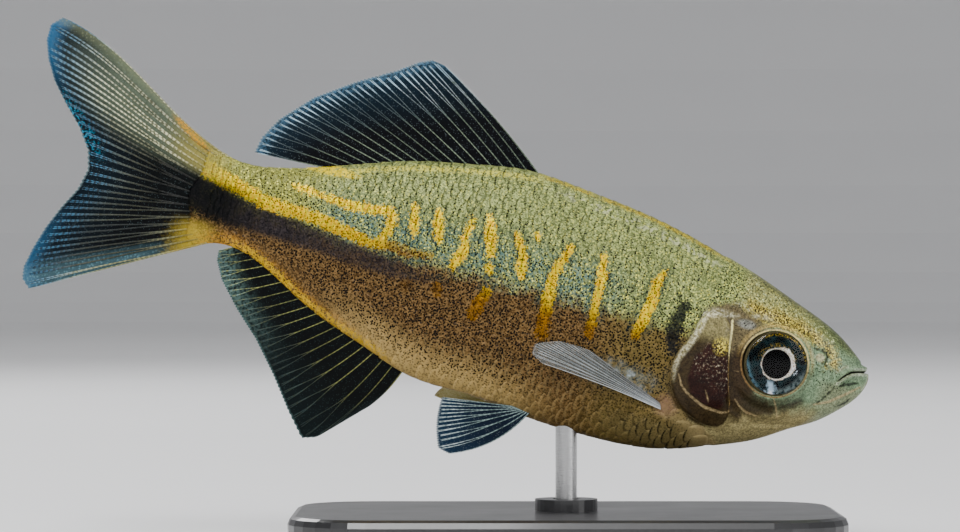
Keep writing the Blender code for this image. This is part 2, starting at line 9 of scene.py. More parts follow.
import bmesh
import bpy
import numpy as np
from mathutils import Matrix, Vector


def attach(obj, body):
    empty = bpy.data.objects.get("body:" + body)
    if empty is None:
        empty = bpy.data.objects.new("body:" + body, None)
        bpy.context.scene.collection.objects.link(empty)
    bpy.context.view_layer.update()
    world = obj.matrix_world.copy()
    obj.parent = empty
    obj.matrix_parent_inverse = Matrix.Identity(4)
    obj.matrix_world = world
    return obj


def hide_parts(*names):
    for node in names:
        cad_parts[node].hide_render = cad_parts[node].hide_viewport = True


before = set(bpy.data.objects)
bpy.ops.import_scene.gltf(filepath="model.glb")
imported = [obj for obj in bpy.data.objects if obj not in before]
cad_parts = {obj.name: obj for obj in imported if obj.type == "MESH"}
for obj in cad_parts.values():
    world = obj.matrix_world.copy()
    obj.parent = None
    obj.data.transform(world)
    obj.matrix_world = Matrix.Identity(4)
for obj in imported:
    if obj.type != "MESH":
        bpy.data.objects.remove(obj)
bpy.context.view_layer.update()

MM = 0.001
SIDES = (("right", -1), ("left", 1))

# Pose of the fish over the stand
NOSE_DOWN = math.radians(15.0)
SNOUT_X = 30.7
SNOUT_Z = 17.5
SWEEP_START = 30.0
SWEEP_LENGTH = 58.0
TAIL_SWEEP = 3.0

# Body: s, back, belly, half width, height of the widest line
BODY_STATIONS = (
    (-0.15, -0.15, -0.15, 0.0, -0.15),
    (0.3, 0.7, -1.8, 0.95, -0.5),
    (1.0, 1.4, -2.85, 1.5, -0.7),
    (2.2, 2.35, -4.1, 2.1, -0.9),
    (4.0, 3.55, -5.65, 2.8, -1.1),
    (6.5, 4.7, -7.15, 3.5, -1.2),
    (9.5, 5.8, -9.05, 4.1, -1.1),
    (13.5, 7.25, -10.75, 4.6, -0.8),
    (19.0, 8.8, -12.55, 4.9, -0.2),
    (26.0, 10.35, -13.1, 5.0, 0.6),
    (33.0, 11.2, -12.8, 4.8, 1.0),
    (39.0, 11.55, -12.2, 4.4, 1.2),
    (45.0, 10.6, -11.95, 3.8, 1.3),
    (51.0, 9.3, -10.0, 3.1, 1.2),
    (57.0, 7.25, -7.8, 2.35, 1.1),
    (63.0, 5.4, -4.75, 1.55, 0.9),
    (67.0, 4.85, -3.85, 1.1, 0.8),
    (70.6, 5.35, -4.7, 0.8, 0.6),
)
BACK_ROUNDNESS = 2.15
BELLY_ROUNDNESS = 1.9
NOSE_S = BODY_STATIONS[0][0]

# Head
EYE_S = 9.8
EYE_H = -1.0
EYE_DEPTH = 2.0
EYE_BULGE = 0.55
EYE_YAW = math.radians(9.0)
EYE_PROFILE = (  # distance from the eye's axis and height along it, from the front to the back
    (0.0, 0.98), (0.6, 0.99), (1.2, 1.0), (1.42, 1.02), (1.5, 1.16), (1.58, 1.24), (1.72, 1.27), (1.9, 1.2),
    (2.1, 1.12), (2.5, 1.12), (2.85, 1.2), (3.05, 1.3), (3.18, 1.36), (3.3, 1.3), (3.36, 1.1), (3.3, 0.6),
    (2.9, -0.4), (2.0, -1.2), (1.0, -1.5), (0.0, -1.55),
)
EYE_ROWS = 72
EYE_SIDES = 96
CORNEA_RISE = 0.62
CORNEA_RADIUS = 3.28
CORNEA_FOOT = 1.2
CORNEA_THICKNESS = 0.5
CORNEA_ROWS = 40
CORNEA_SIDES = 72
MOUTH_LINE = ((-3.0, 0.62), (-0.2, 0.6), (0.5, 0.5), (1.2, 0.35), (1.9, 0.1), (2.5, -0.4), (3.1, -1.15))
JAW_BACK = ((3.75, -2.3), (4.45, -3.4), (4.9, -4.6), (5.3, -6.0), (5.7, -9.0))
GILL_COVER = (
    (14.6, -0.6), (15.3, 1.7), (16.6, 2.4), (17.9, 2.0), (18.45, 0.5), (18.8, -0.7), (19.4, -2.1),
    (19.75, -3.3), (19.7, -4.7), (19.2, -6.2), (18.3, -7.4), (17.0, -8.2), (15.5, -8.7), (14.0, -8.8),
    (12.9, -7.5), (13.4, -3.8),
)
GILL_COVER_STEP = 0.25
NECK_LINE = (
    (16.4, 14.0), (16.6, 8.0), (16.9, 4.4), (18.2, 2.8), (19.0, -0.3), (19.8, -2.6), (20.1, -4.7),
    (19.6, -6.4), (18.3, -8.1), (16.5, -9.1), (14.5, -9.6), (13.2, -10.8), (12.5, -14.0),
)
PREOPERCLE = (
    (15.1, 2.2), (14.86, 0.97), (14.73, -0.28), (14.55, -1.3), (14.2, -2.9), (13.7, -4.6), (13.15, -6.1),
    (12.95, -7.3),
)

# Rear end of the body
FIN_ROOT_S = 69.1
FIN_ROOT_BULGE = 1.0
FIN_ROOT_MIDDLE = 0.45
FIN_ROOT_HALF = 4.75
BODY_END = FIN_ROOT_S + FIN_ROOT_BULGE

# Fins: the share of the way from the leading ray to the last, then s and h of that ray's tip
DORSAL_BASE = (37.4, 57.9)
DORSAL_MARGIN = (
    (0.0, 50.0, 19.7), (0.06, 51.3, 19.9), (0.14, 52.6, 19.3), (0.25, 54.4, 18.0), (0.42, 58.3, 15.7),
    (0.62, 62.0, 13.1), (0.82, 64.9, 10.0), (0.93, 66.1, 7.8), (1.0, 66.4, 6.1),
)
DORSAL_RAYS = 18
DORSAL_BOW = 0.025
ANAL_BASE = (45.9, 65.3)
ANAL_MARGIN = (
    (0.0, 48.5, -16.1), (0.06, 52.7, -20.4), (0.1, 54.2, -20.9), (0.175, 56.3, -18.5), (0.31, 58.7, -15.4),
    (0.48, 61.4, -12.3), (0.64, 64.0, -9.9), (0.8, 66.3, -7.4), (0.92, 67.3, -5.6), (1.0, 67.4, -4.6),
)
ANAL_RAYS = 19
ANAL_BOW = 0.05
CAUDAL_MARGIN = (
    (0.0, 89.2, 14.4), (0.05, 90.2, 13.4), (0.12, 90.2, 11.8), (0.2, 89.5, 9.9), (0.28, 88.3, 7.9),
    (0.35, 86.6, 6.0), (0.42, 84.6, 4.0), (0.48, 83.1, 1.9), (0.53, 82.6, 0.0), (0.6, 83.1, -2.2),
    (0.68, 84.3, -4.5), (0.76, 85.3, -6.9), (0.84, 86.0, -9.3), (0.92, 86.4, -11.4), (0.97, 86.2, -12.6),
    (1.0, 85.3, -13.4),
)
CAUDAL_RAYS = 19
CAUDAL_BOW = 0.45
CAUDAL_BEND_TURN = 0.36
PECTORAL_ROOT = ((20.22, -8.45), (20.45, -7.9))
PECTORAL_RAYS = 10
PECTORAL_LENGTHS = ((0.0, 13.25), (0.12, 14.5), (0.35, 14.5), (0.7, 12.3), (1.0, 9.05))
PECTORAL_LEADING = (12.9, 2.68, 1.46)
PECTORAL_INNER = (8.32, 1.05, 3.38)
PECTORAL_BOW = -0.015
PECTORAL_CLEAR = 0.35  # from the flank to the middle of the fin's root
PELVIC_ROOT = (32.4, 33.7)
PELVIC_Y = 1.1
PELVIC_RAYS = 8
PELVIC_LENGTHS = ((0.0, 9.4), (0.15, 10.0), (0.5, 9.1), (1.0, 7.8))
PELVIC_DIRECTIONS = {
    "right": ((7.4, 1.9, -6.6), (7.7, 0.6, -1.0)),
    "left": ((9.8, 3.0, -1.3), (7.9, 0.5, 0.0)),
}
PELVIC_BOW = 0.1
PELVIC_CLEAR = 0.3
FIN_SINK = 0.45  # how deep the rays' roots lie in the back and belly
CAUDAL_SINK = 0.4
PECTORAL_SINK = (0.5, 0.35)  # forwards, and towards the body
PELVIC_SINK = 0.5
FIN_BUILD = {  # where along the rays they part, wave of the web, and a twig's size at root and tip
    "dorsal_fin": (0.42, 0.25, 0.1, 0.05),
    "anal_fin": (0.4, -0.2, 0.09, 0.05),
    "caudal_fin": (0.1, 0.3, 0.15, 0.075),
    "pectoral_fin": (0.45, 0.0, 0.07, 0.03),
    "pelvic_fin": (0.3, 0.0, 0.1, 0.05),
}
TWIGS = ((-1, -1), (-1, 1), (1, -1), (1, 1))
TWIG_SPREAD = 0.25
TWIG_SPLIT = 0.06
TWIG_SEGMENTS = 26
TWIG_SIDES = 6
WEB_COLUMNS = 8  # from one ray to the next
WEB_ROWS = 30
WEB_THICKNESS = 0.07
WEB_DIP = 0.12  # how far the web's edge is drawn in between two twigs

# Markings: s, h and half width along each stroke
GOLD_BARS = (
    ((49.0, 4.8, 0.4), (48.7, 3.6, 0.55), (48.4, 2.35, 0.4)),
    ((46.5, 4.9, 0.4), (46.2, 3.6, 0.6), (45.8, 2.2, 0.35)),
    ((43.0, 5.2, 0.35), (43.3, 3.2, 0.4), (43.1, 1.8, 0.6), (43.7, 0.15, 0.45)),
    ((41.4, 5.8, 0.35), (40.9, 4.2, 0.6), (40.4, 2.3, 0.5)),
    ((40.1, 0.9, 0.5), (40.0, 0.6, 0.4)),
    ((38.4, 5.0, 0.3), (37.3, 3.3, 0.5), (37.0, 1.9, 0.55), (36.8, 0.8, 0.35)),
    ((36.3, 5.3, 0.4), (36.2, 5.1, 0.3)),
    ((32.7, 5.1, 0.35), (33.3, 3.2, 0.5), (33.7, 1.9, 0.5), (33.6, -0.6, 0.6), (33.4, -4.2, 0.7)),
    ((29.3, 5.0, 0.35), (28.9, 3.2, 0.5), (28.9, 1.4, 0.4), (28.7, -3.0, 0.5)),
    ((22.9, 5.2, 0.25), (23.4, 3.8, 0.45), (23.4, 2.0, 0.55), (23.8, -0.2, 0.6), (24.2, -1.9, 0.5)),
    ((39.8, -1.5, 0.5), (40.3, -3.0, 0.7), (40.6, -4.2, 0.6)),
    ((44.8, -2.4, 0.6), (44.7, -3.0, 0.5)),
    ((47.9, -2.9, 0.55), (47.8, -3.4, 0.45)),
)
GOLD_STRIPES = (
    (
        (70.9, 3.3, 0.9), (68.6, 2.6, 0.85), (66.3, 2.1, 0.75), (64.0, 1.45, 0.75), (62.4, 1.35, 0.7),
        (59.1, 1.3, 0.65), (56.8, 0.95, 0.7), (54.2, 0.5, 0.55), (52.5, 0.2, 0.5), (50.2, 0.45, 0.55),
        (48.3, 0.2, 0.5), (46.2, 0.5, 0.3),
    ),
    (
        (61.6, 3.9, 0.2), (60.4, 3.7, 0.4), (58.6, 3.6, 0.3), (56.7, 3.4, 0.45), (55.0, 3.4, 0.5),
        (52.6, 3.6, 0.5), (51.3, 3.9, 0.5), (50.8, 3.1, 0.5), (51.2, 1.5, 0.5), (51.7, 0.4, 0.4),
    ),
)
DARK_STRIPE = (
    (73.4, 1.3, 1.5), (70.3, 0.7, 1.5), (66.9, -0.2, 1.45), (63.6, -0.5, 1.35), (58.8, -0.8, 1.2),
    (53.8, -1.3, 1.1), (49.0, -1.7, 0.9), (44.0, -1.8, 0.5),
)
SHOULDER_SPOT = ((20.1, 2.2, 0.6), (20.5, 0.8, 0.85), (20.5, -0.8, 0.8), (20.2, -2.3, 0.55))
HEAD_STROKES = {
    "cream": (
        ((19.0, -4.4, 0.02), (18.4, -5.5, 0.06), (17.7, -6.1, 0.08), (16.6, -6.65, 0.09)),
        (
            (16.6, -6.65, 0.09), (15.5, -7.08, 0.12), (14.4, -7.15, 0.1), (13.6, -7.2, 0.08),
            (13.0, -6.9, 0.05),
        ),
        ((12.75, -5.5, 0.02), (12.1, -6.1, 0.05), (11.3, -6.5, 0.08), (9.9, -6.65, 0.02)),
        ((14.1, -2.6, 0.03), (13.2, -2.7, 0.05), (12.9, -2.5, 0.02)),
        ((15.9, -5.4, 0.01), (15.3, -6.4, 0.05)),
        ((9.0, -4.4, 0.02), (8.4, -5.4, 0.05), (8.0, -6.4, 0.01)),
        ((4.8, -4.0, 0.05), (3.3, -3.3, 0.1), (1.8, -2.1, 0.08), (0.6, -1.1, 0.05)),
    ),
    "gill": (
        ((16.6, -1.3, 0.3), (16.7, -3.0, 0.9), (16.3, -4.6, 1.1), (15.6, -5.9, 0.7), (14.3, -6.4, 0.4)),
        ((15.3, -2.0, 0.5), (15.2, -3.6, 0.9), (14.7, -5.2, 0.9)),
        ((17.3, -2.4, 0.3), (17.2, -4.4, 0.6), (16.6, -5.6, 0.6)),
    ),
    "smoke": (
        ((13.6, -1.2, 0.5), (13.4, -3.2, 1.0), (12.6, -4.8, 1.3), (11.2, -5.7, 1.0), (9.3, -5.7, 0.7)),
        ((13.2, -4.5, 0.9), (12.9, -6.0, 1.0), (12.4, -6.9, 0.7)),
        ((9.3, -5.6, 0.5), (7.6, -4.9, 0.35), (6.3, -4.0, 0.15)),
        ((18.2, -7.2, 0.4), (17.0, -7.7, 0.6), (15.6, -8.1, 0.6), (14.2, -8.2, 0.4)),
    ),
    "golden": (
        ((13.4, 3.9, 0.4), (11.8, 3.6, 0.5), (9.8, 3.4, 0.7), (8.0, 3.0, 0.6), (6.4, 2.5, 0.5)),
        ((6.4, 2.5, 0.45), (5.0, 2.0, 0.3), (4.2, 1.2, 0.3), (3.9, 0.6, 0.25), (4.6, 0.1, 0.1)),
    ),
    "white": (
        ((12.9, 3.1, 0.12), (12.0, 3.3, 0.16), (11.2, 3.2, 0.05)),
        ((18.0, 2.1, 0.25), (17.0, 2.5, 0.35), (15.7, 2.6, 0.3), (14.6, 2.7, 0.1)),
        ((18.0, 1.9, 0.3), (18.15, 0.6, 0.3), (18.4, -0.6, 0.26), (19.0, -2.0, 0.26), (19.5, -3.1, 0.2)),
        ((19.5, -3.1, 0.18), (19.5, -4.0, 0.12), (19.3, -5.3, 0.06)),
        ((0.4, 0.42, 0.03), (1.6, 0.1, 0.05), (2.4, -0.4, 0.06), (3.1, -1.4, 0.03)),
        ((0.0, 0.15, 0.03), (-0.1, -0.5, 0.06), (0.3, -1.3, 0.03)),
        ((2.4, 0.6, 0.04), (2.9, 0.3, 0.08), (3.4, -0.2, 0.02)),
    ),
    "jaw": (
        ((3.1, -1.5, 0.03), (3.5, -2.2, 0.06), (4.0, -3.1, 0.08), (4.5, -3.8, 0.05)),
        ((1.3, -2.5, 0.02), (1.7, -3.1, 0.1), (2.3, -3.5, 0.02)),
        ((6.3, 1.5, 0.05), (5.6, 1.55, 0.08), (4.9, 1.35, 0.1), (4.65, 0.9, 0.08), (4.75, 0.5, 0.02)),
        ((5.2, 0.25, 0.02), (4.8, 0.2, 0.06), (4.4, 0.15, 0.01)),
        # the last stroke is a painted shadow under the lower lip
        ((0.9, -0.7, 0.05), (1.9, -1.15, 0.16), (2.7, -1.5, 0.03)),
    ),
}
MARK_REACH = 5.0  # distances to the markings are kept up to this

# Skin mesh
HEAD_RINGS = 290
BODY_RINGS = 165
RING_SIDES = 204
HEAD_END = 21.0
SKIN_END_OVERLAP = 1.6  # how far the skin runs out over the tail fin's rays
SKIN_END_HALF = 0.3
UNDER_SCALES = 0.1  # how far the skin lies under the body's outline where scales cover it

# Scales
SCALE_LENGTH = 1.36  # from one scale to the next in a row, and the rows' distance, at mid body
SCALE_ROW = 1.12
SCALE_SHRINK = 0.8  # size near the tail, as a share
SCALE_CELLS = 6
SCALE_THICKNESS = 0.035

# Fins' colours: web near the body, web near the edge, rays, and the rays' tips and specks
FIN_TONES = {
    "dorsal_fin": ((1, 2, 5), (14, 44, 60), (150, 166, 140), (206, 228, 236)),
    "anal_fin": ((2, 4, 4), (12, 26, 28), (168, 168, 92), (120, 156, 154)),
    "caudal_fin": ((2, 4, 6), (10, 30, 42), (176, 174, 124), (186, 214, 218)),
    "pectoral_fin": ((112, 116, 112), (140, 146, 144), (190, 196, 194), (240, 244, 244)),
    "pelvic_fin": ((2, 18, 36), (14, 48, 72), (160, 184, 180), (220, 234, 236)),
}
FIN_DEPTH = (0.84, 0.84, 0.84)
BEAD_GAP = (0.25, 0.28, 0.3)  # the rays' colour between two beads, as a share of that of a bead

# Sockets of the mix node for colours
MIX_SHARE = 0
MIX_LOW = 6
MIX_HIGH = 7
MIX_RESULT = 2

# Studio
CAMERA_X = -8.79
CAMERA_Z = 28.93
CAMERA_AWAY = 408.0
CAMERA_LENS = 150.0
FLOOR_RADIUS = 1.4  # in metres, as are the next two
FLOOR_SWEEP = 0.6
WALL_RISE = 0.8
FLOOR_SIDES = 96
FLOOR_STEPS = 16
LIGHTS = (  # name, place and size in metres, power in watts
    ("key", (-0.12, -0.42, 0.42), (0.26, 0.26), 3.3),
    ("fill", (0.42, -0.35, 0.16), (0.25, 0.35), 0.75),
    ("top", (0.0, 0.1, 1.3), (1.4, 1.2), 11.0),
    ("back", (-0.25, 0.5, 0.4), (0.3, 0.3), 1.6),
)
WORLD_COLOUR = (0.8, 0.82, 0.85, 1.0)
WORLD_STRENGTH = 0.16


def tone(red, green, blue):
    """A colour of 8-bit values, as the shaders want it."""
    def linear(value):
        value /= 255
        return value / 12.92 if value <= 0.04045 else ((value + 0.055) / 1.055) ** 2.4

    return linear(red), linear(green), linear(blue)


def ease(value, low, high):
    """0 below low, 1 above high and smooth between."""
    share = np.clip((value - low) / (high - low), 0.0, 1.0)
    return share * share * (3 - 2 * share)


def natural_spline(places, values):
    """A smooth curve through the values, as a function of an array of places."""
    x = np.array(places, float)
    y = np.array(values, float).reshape(len(x), -1)
    step = np.diff(x)
    matrix = np.eye(len(x))
    right = np.zeros_like(y)
    for i in range(1, len(x) - 1):
        matrix[i, i - 1 : i + 2] = step[i - 1], 2 * (step[i - 1] + step[i]), step[i]
        right[i] = 6 * ((y[i + 1] - y[i]) / step[i] - (y[i] - y[i - 1]) / step[i - 1])
    bend = np.linalg.solve(matrix, right)

    def at(place):
        place = np.asarray(place, float)
        i = np.clip(np.searchsorted(x, place) - 1, 0, len(x) - 2)
        a = ((x[i + 1] - place) / step[i])[..., None]
        b = 1 - a
        width = step[i][..., None]
        curved = ((a**3 - a) * bend[i] + (b**3 - b) * bend[i + 1]) * width**2 / 6
        return a * y[i] + b * y[i + 1] + curved

    return at


def smooth_line(points, count):
    """count points along a smooth open curve through the given ones."""
    return natural_spline(range(len(points)), points)(np.linspace(0, len(points) - 1, count))


def smooth_loop(points, count):
    """count points along a smooth closed curve through the given ones."""
    wrap = 3
    ring = [*points[-wrap:], *points, *points[: wrap + 1]]
    curve = natural_spline(range(-wrap, len(points) + wrap + 1), ring)
    return curve(np.linspace(0, len(points), count, endpoint=False))


station_places = [math.sqrt(row[0] - NOSE_S) for row in BODY_STATIONS]
body_curve = natural_spline(station_places, [row[1:] for row in BODY_STATIONS])
neck_places = np.array(NECK_LINE[::-1])
fold_places = np.array(PREOPERCLE[::-1])
gill_loop = smooth_loop(GILL_COVER, 90)
mouth_curve = natural_spline([row[0] for row in MOUTH_LINE], [row[1] for row in MOUTH_LINE])
jaw_line = smooth_line((*MOUTH_LINE[1:], *JAW_BACK), 40)


def body_at(s):
    """Back, belly, half width and height of the widest line at s."""
    values = body_curve(np.sqrt(np.maximum(s - NOSE_S, 0.0)))
    return values[..., 0], values[..., 1], np.maximum(values[..., 2], 0.0), values[..., 3]


def flank_y(s, h):
    """Distance of the skin from the middle plane at s and h."""
    back, belly, half_width, widest = body_at(s)
    upper = h >= widest
    reach = np.where(upper, h - widest, widest - h) / np.where(upper, back - widest, widest - belly)
    roundness = np.where(upper, BACK_ROUNDNESS, BELLY_ROUNDNESS)
    return half_width * np.maximum(1 - np.minimum(reach, 1.0) ** roundness, 0.0) ** (1 / roundness)


def belly_h(s, y):
    """Height of the skin of the belly at s and y."""
    _, belly, half_width, widest = body_at(s)
    reach = (1 - (abs(y) / half_width) ** BELLY_ROUNDNESS) ** (1 / BELLY_ROUNDNESS)
    return widest - (widest - belly) * reach


def swing(s):
    """How far the sweep of the tail moves the body's middle plane at s."""
    return TAIL_SWEEP * (np.maximum(s - SWEEP_START, 0.0) / SWEEP_LENGTH) ** 2


def place(s, y, h):
    """Points of the fish's frame, in the world's metres."""
    x = SNOUT_X - s * math.cos(NOSE_DOWN) + h * math.sin(NOSE_DOWN)
    z = SNOUT_Z + s * math.sin(NOSE_DOWN) + h * math.cos(NOSE_DOWN)
    return np.stack((x, y + swing(s), z), axis=-1) * MM


def fish_frame(points):
    """s, y and h of points of the world."""
    x = points[:, 0] / MM - SNOUT_X
    z = points[:, 2] / MM - SNOUT_Z
    s = -x * math.cos(NOSE_DOWN) + z * math.sin(NOSE_DOWN)
    h = x * math.sin(NOSE_DOWN) + z * math.cos(NOSE_DOWN)
    return s, points[:, 1] / MM - swing(s), h


def stem_end(h):
    """Where the body ends at height h."""
    return FIN_ROOT_S + FIN_ROOT_BULGE * (1 - ((h - FIN_ROOT_MIDDLE) / FIN_ROOT_HALF) ** 2)


def section(s, turn):
    """y and h of the body's outline at s.

    turn is 0 at the belly, and grows over the right flank to the back.
    """
    back, belly, half_width, widest = body_at(s)
    up = -np.cos(turn)
    out = -np.sin(turn)
    power = 2 / np.where(up > 0, BACK_ROUNDNESS, BELLY_ROUNDNESS)
    y = half_width * np.sign(out) * np.abs(out) ** power
    h = widest + np.where(up > 0, back - widest, widest - belly) * np.sign(up) * np.abs(up) ** power
    return y, h


def outward(s, turn):
    """The direction out of the body's outline, in the world."""
    step = 0.03
    before = np.maximum(s - step, NOSE_S)
    along = place(s + step, *section(s + step, turn)) - place(before, *section(before, turn))
    around = place(s, *section(s, turn + step)) - place(s, *section(s, turn - step))
    normal = np.cross(around, along)
    length = np.linalg.norm(normal, axis=-1, keepdims=True)
    ahead = np.array((math.cos(NOSE_DOWN), 0.0, -math.sin(NOSE_DOWN)))
    return np.where(length > 1e-14, normal / np.maximum(length, 1e-14), ahead)


def line_distance(s, h, points):
    """Distance to a line, less its half width where it has one: below 0 inside the stroke."""
    best = np.full(np.shape(s), 1e3)
    rows = [(*row, 0.0)[:3] for row in points]
    for (s0, h0, w0), (s1, h1, w1) in zip(rows, rows[1:]):
        ds = s1 - s0
        dh = h1 - h0
        share = np.clip(((s - s0) * ds + (h - h0) * dh) / (ds * ds + dh * dh), 0, 1)
        away = np.hypot(s - s0 - share * ds, h - h0 - share * dh)
        best = np.minimum(best, away - (w0 + (w1 - w0) * share))
    return best


def loop_depth(s, h, loop):
    """How deep a point lies inside a closed line: below 0 outside."""
    points = np.vstack((loop, loop[:1]))
    inside = np.zeros(np.shape(s), bool)
    for (s0, h0), (s1, h1) in zip(points, points[1:]):
        crosses = (h0 > h) != (h1 > h)
        at = s0 + (h - h0) * (s1 - s0) / (h1 - h0 if h1 != h0 else 1e-9)
        inside ^= crosses & (s < at)
    away = line_distance(s, h, points)
    return np.where(inside, away, -away)


def ridge(distance, width):
    """1 on a line and 0 away from it."""
    return np.exp(-((distance / width) ** 2))


def neck_s(h):
    """Where the scales begin at height h."""
    return np.interp(h, neck_places[:, 1], neck_places[:, 0])


def behind_neck(s, h):
    return s - neck_s(h)


def narrowed(s, y):
    """y of the body's outline, drawn in towards the tail fin's thickness where the body ends."""
    thin = np.clip(SKIN_END_HALF / np.maximum(body_at(np.minimum(s, BODY_END))[2], 0.1), 0, 1)
    return y * (1 + (thin - 1) * ease(s, BODY_END - 3.5, BODY_END + SKIN_END_OVERLAP))


def eye_distance(s, h):
    """Distance from the eye's axis, seen along it."""
    return np.hypot((s - EYE_S) * math.cos(EYE_YAW), h - EYE_H)


def eye_centre(side):
    y = flank_y(EYE_S, EYE_H) + EYE_BULGE - EYE_DEPTH
    return EYE_S, side * y, EYE_H


def sheet(bm, columns, rows, where, marks=()):
    """Adds a grid of faces with its corners where the function says, from places u and v of 0 to 1."""
    layers = [bm.verts.layers.float.get(name) or bm.verts.layers.float.new(name) for name, _ in marks]
    made = bmesh.ops.create_grid(bm, x_segments=columns, y_segments=rows, size=0.5)["verts"]
    flat = np.array([vertex.co[:2] for vertex in made]) + 0.5
    for vertex, point in zip(made, where(flat[:, 0], flat[:, 1])):
        vertex.co = point
    for layer, (_, mark) in zip(layers, marks):
        for vertex, value in zip(made, mark(flat[:, 0], flat[:, 1])):
            vertex[layer] = value


def turn_faces(bm):
    """Turns the faces outwards."""
    bm.normal_update()
    bmesh.ops.recalc_face_normals(bm, faces=bm.faces)


def merge(bm):
    """Closes seams and poles."""
    bmesh.ops.remove_doubles(bm, verts=bm.verts, dist=1e-7)
    bmesh.ops.dissolve_degenerate(bm, edges=bm.edges, dist=1e-8)
    turn_faces(bm)


def add_object(name, data):
    obj = bpy.data.objects.new(name, data)
    bpy.context.scene.collection.objects.link(obj)
    return obj


def add_wall(piece, thickness, offset):
    """Gives a piece of open sheet its thickness, in millimetres."""
    wall = piece.modifiers.new("wall", "SOLIDIFY")
    wall.thickness = thickness * MM
    wall.offset = offset


def add_piece(name, bm, finish, nodes=()):
    """A piece of the fish that stands for the named nodes of the frame."""
    mesh = bpy.data.meshes.new(name)
    bm.to_mesh(mesh)
    bm.free()
    mesh.materials.append(finish)
    mesh.shade_smooth()
    piece = add_object(name, mesh)
    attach(piece, "root")
    if nodes:
        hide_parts(*nodes)
    return piece


def add_mark(mesh, name, values):
    mesh.attributes.new(name, "FLOAT", "POINT").data.foreach_set("value", np.asarray(values, np.float32))


def mesh_points(mesh):
    points = np.empty(len(mesh.vertices) * 3, np.float32)
    mesh.vertices.foreach_get("co", points)
    return points.reshape(-1, 3).astype(float)


def mark_distance(mesh, name, away):
    add_mark(mesh, name, np.clip(away, -MARK_REACH, MARK_REACH))


def mark_strokes(mesh, name, s, h, strokes):
    """Gives every corner its distance to the nearest of the strokes."""
    mark_distance(mesh, name, np.min([line_distance(s, h, stroke) for stroke in strokes], axis=0))


def mark_body(mesh):
    """Gives every corner its distances to the fish's markings, in millimetres."""
    s, _, h = fish_frame(mesh_points(mesh))
    back, belly, _, _ = body_at(s)
    mark_strokes(mesh, "gold", s, h, (*GOLD_BARS, *GOLD_STRIPES))
    mark_strokes(mesh, "stripe", s, h, (DARK_STRIPE,))
    mark_strokes(mesh, "shoulder", s, h, (SHOULDER_SPOT,))
    add_mark(mesh, "ridge", back - h)
    add_mark(mesh, "keel", h - belly)
    mark_distance(mesh, "neck", behind_neck(s, h))
    return s, h


# Skin


def ring_places():
    """Places of the skin's rings: close together at the snout, and even along the body."""
    head = NOSE_S + np.linspace(0.0, math.sqrt(HEAD_END - NOSE_S), HEAD_RINGS + 1) ** 2
    body = np.linspace(HEAD_END, BODY_END + SKIN_END_OVERLAP, BODY_RINGS + 1)
    return np.concatenate((head, body[1:]))


def fit_orbit(s, y, h):
    """Brings the skin round the eye to the eye's own plane, and sinks it behind the eyeball."""
    side = np.sign(y)
    _, centre_y, _ = eye_centre(1)
    away = eye_distance(s, h)
    out = EYE_DEPTH - EYE_BULGE - 0.1
    plane = centre_y + (s - EYE_S) * math.tan(EYE_YAW) + out / math.cos(EYE_YAW)
    rim = 0.1 * ridge(away - 3.5, 0.14) - 0.05 * ridge(away - 3.9, 0.25)
    cup = 1.7 * (1 - ease(away, 2.7, 3.32))
    share = 1 - ease(away, 3.5, 4.7)
    seen = (np.abs(y) > 1.0) & (away < 4.8)
    fitted = np.abs(y) * (1 - share) + (plane + rim - cup) * share
    return np.where(seen, side * fitted, y)


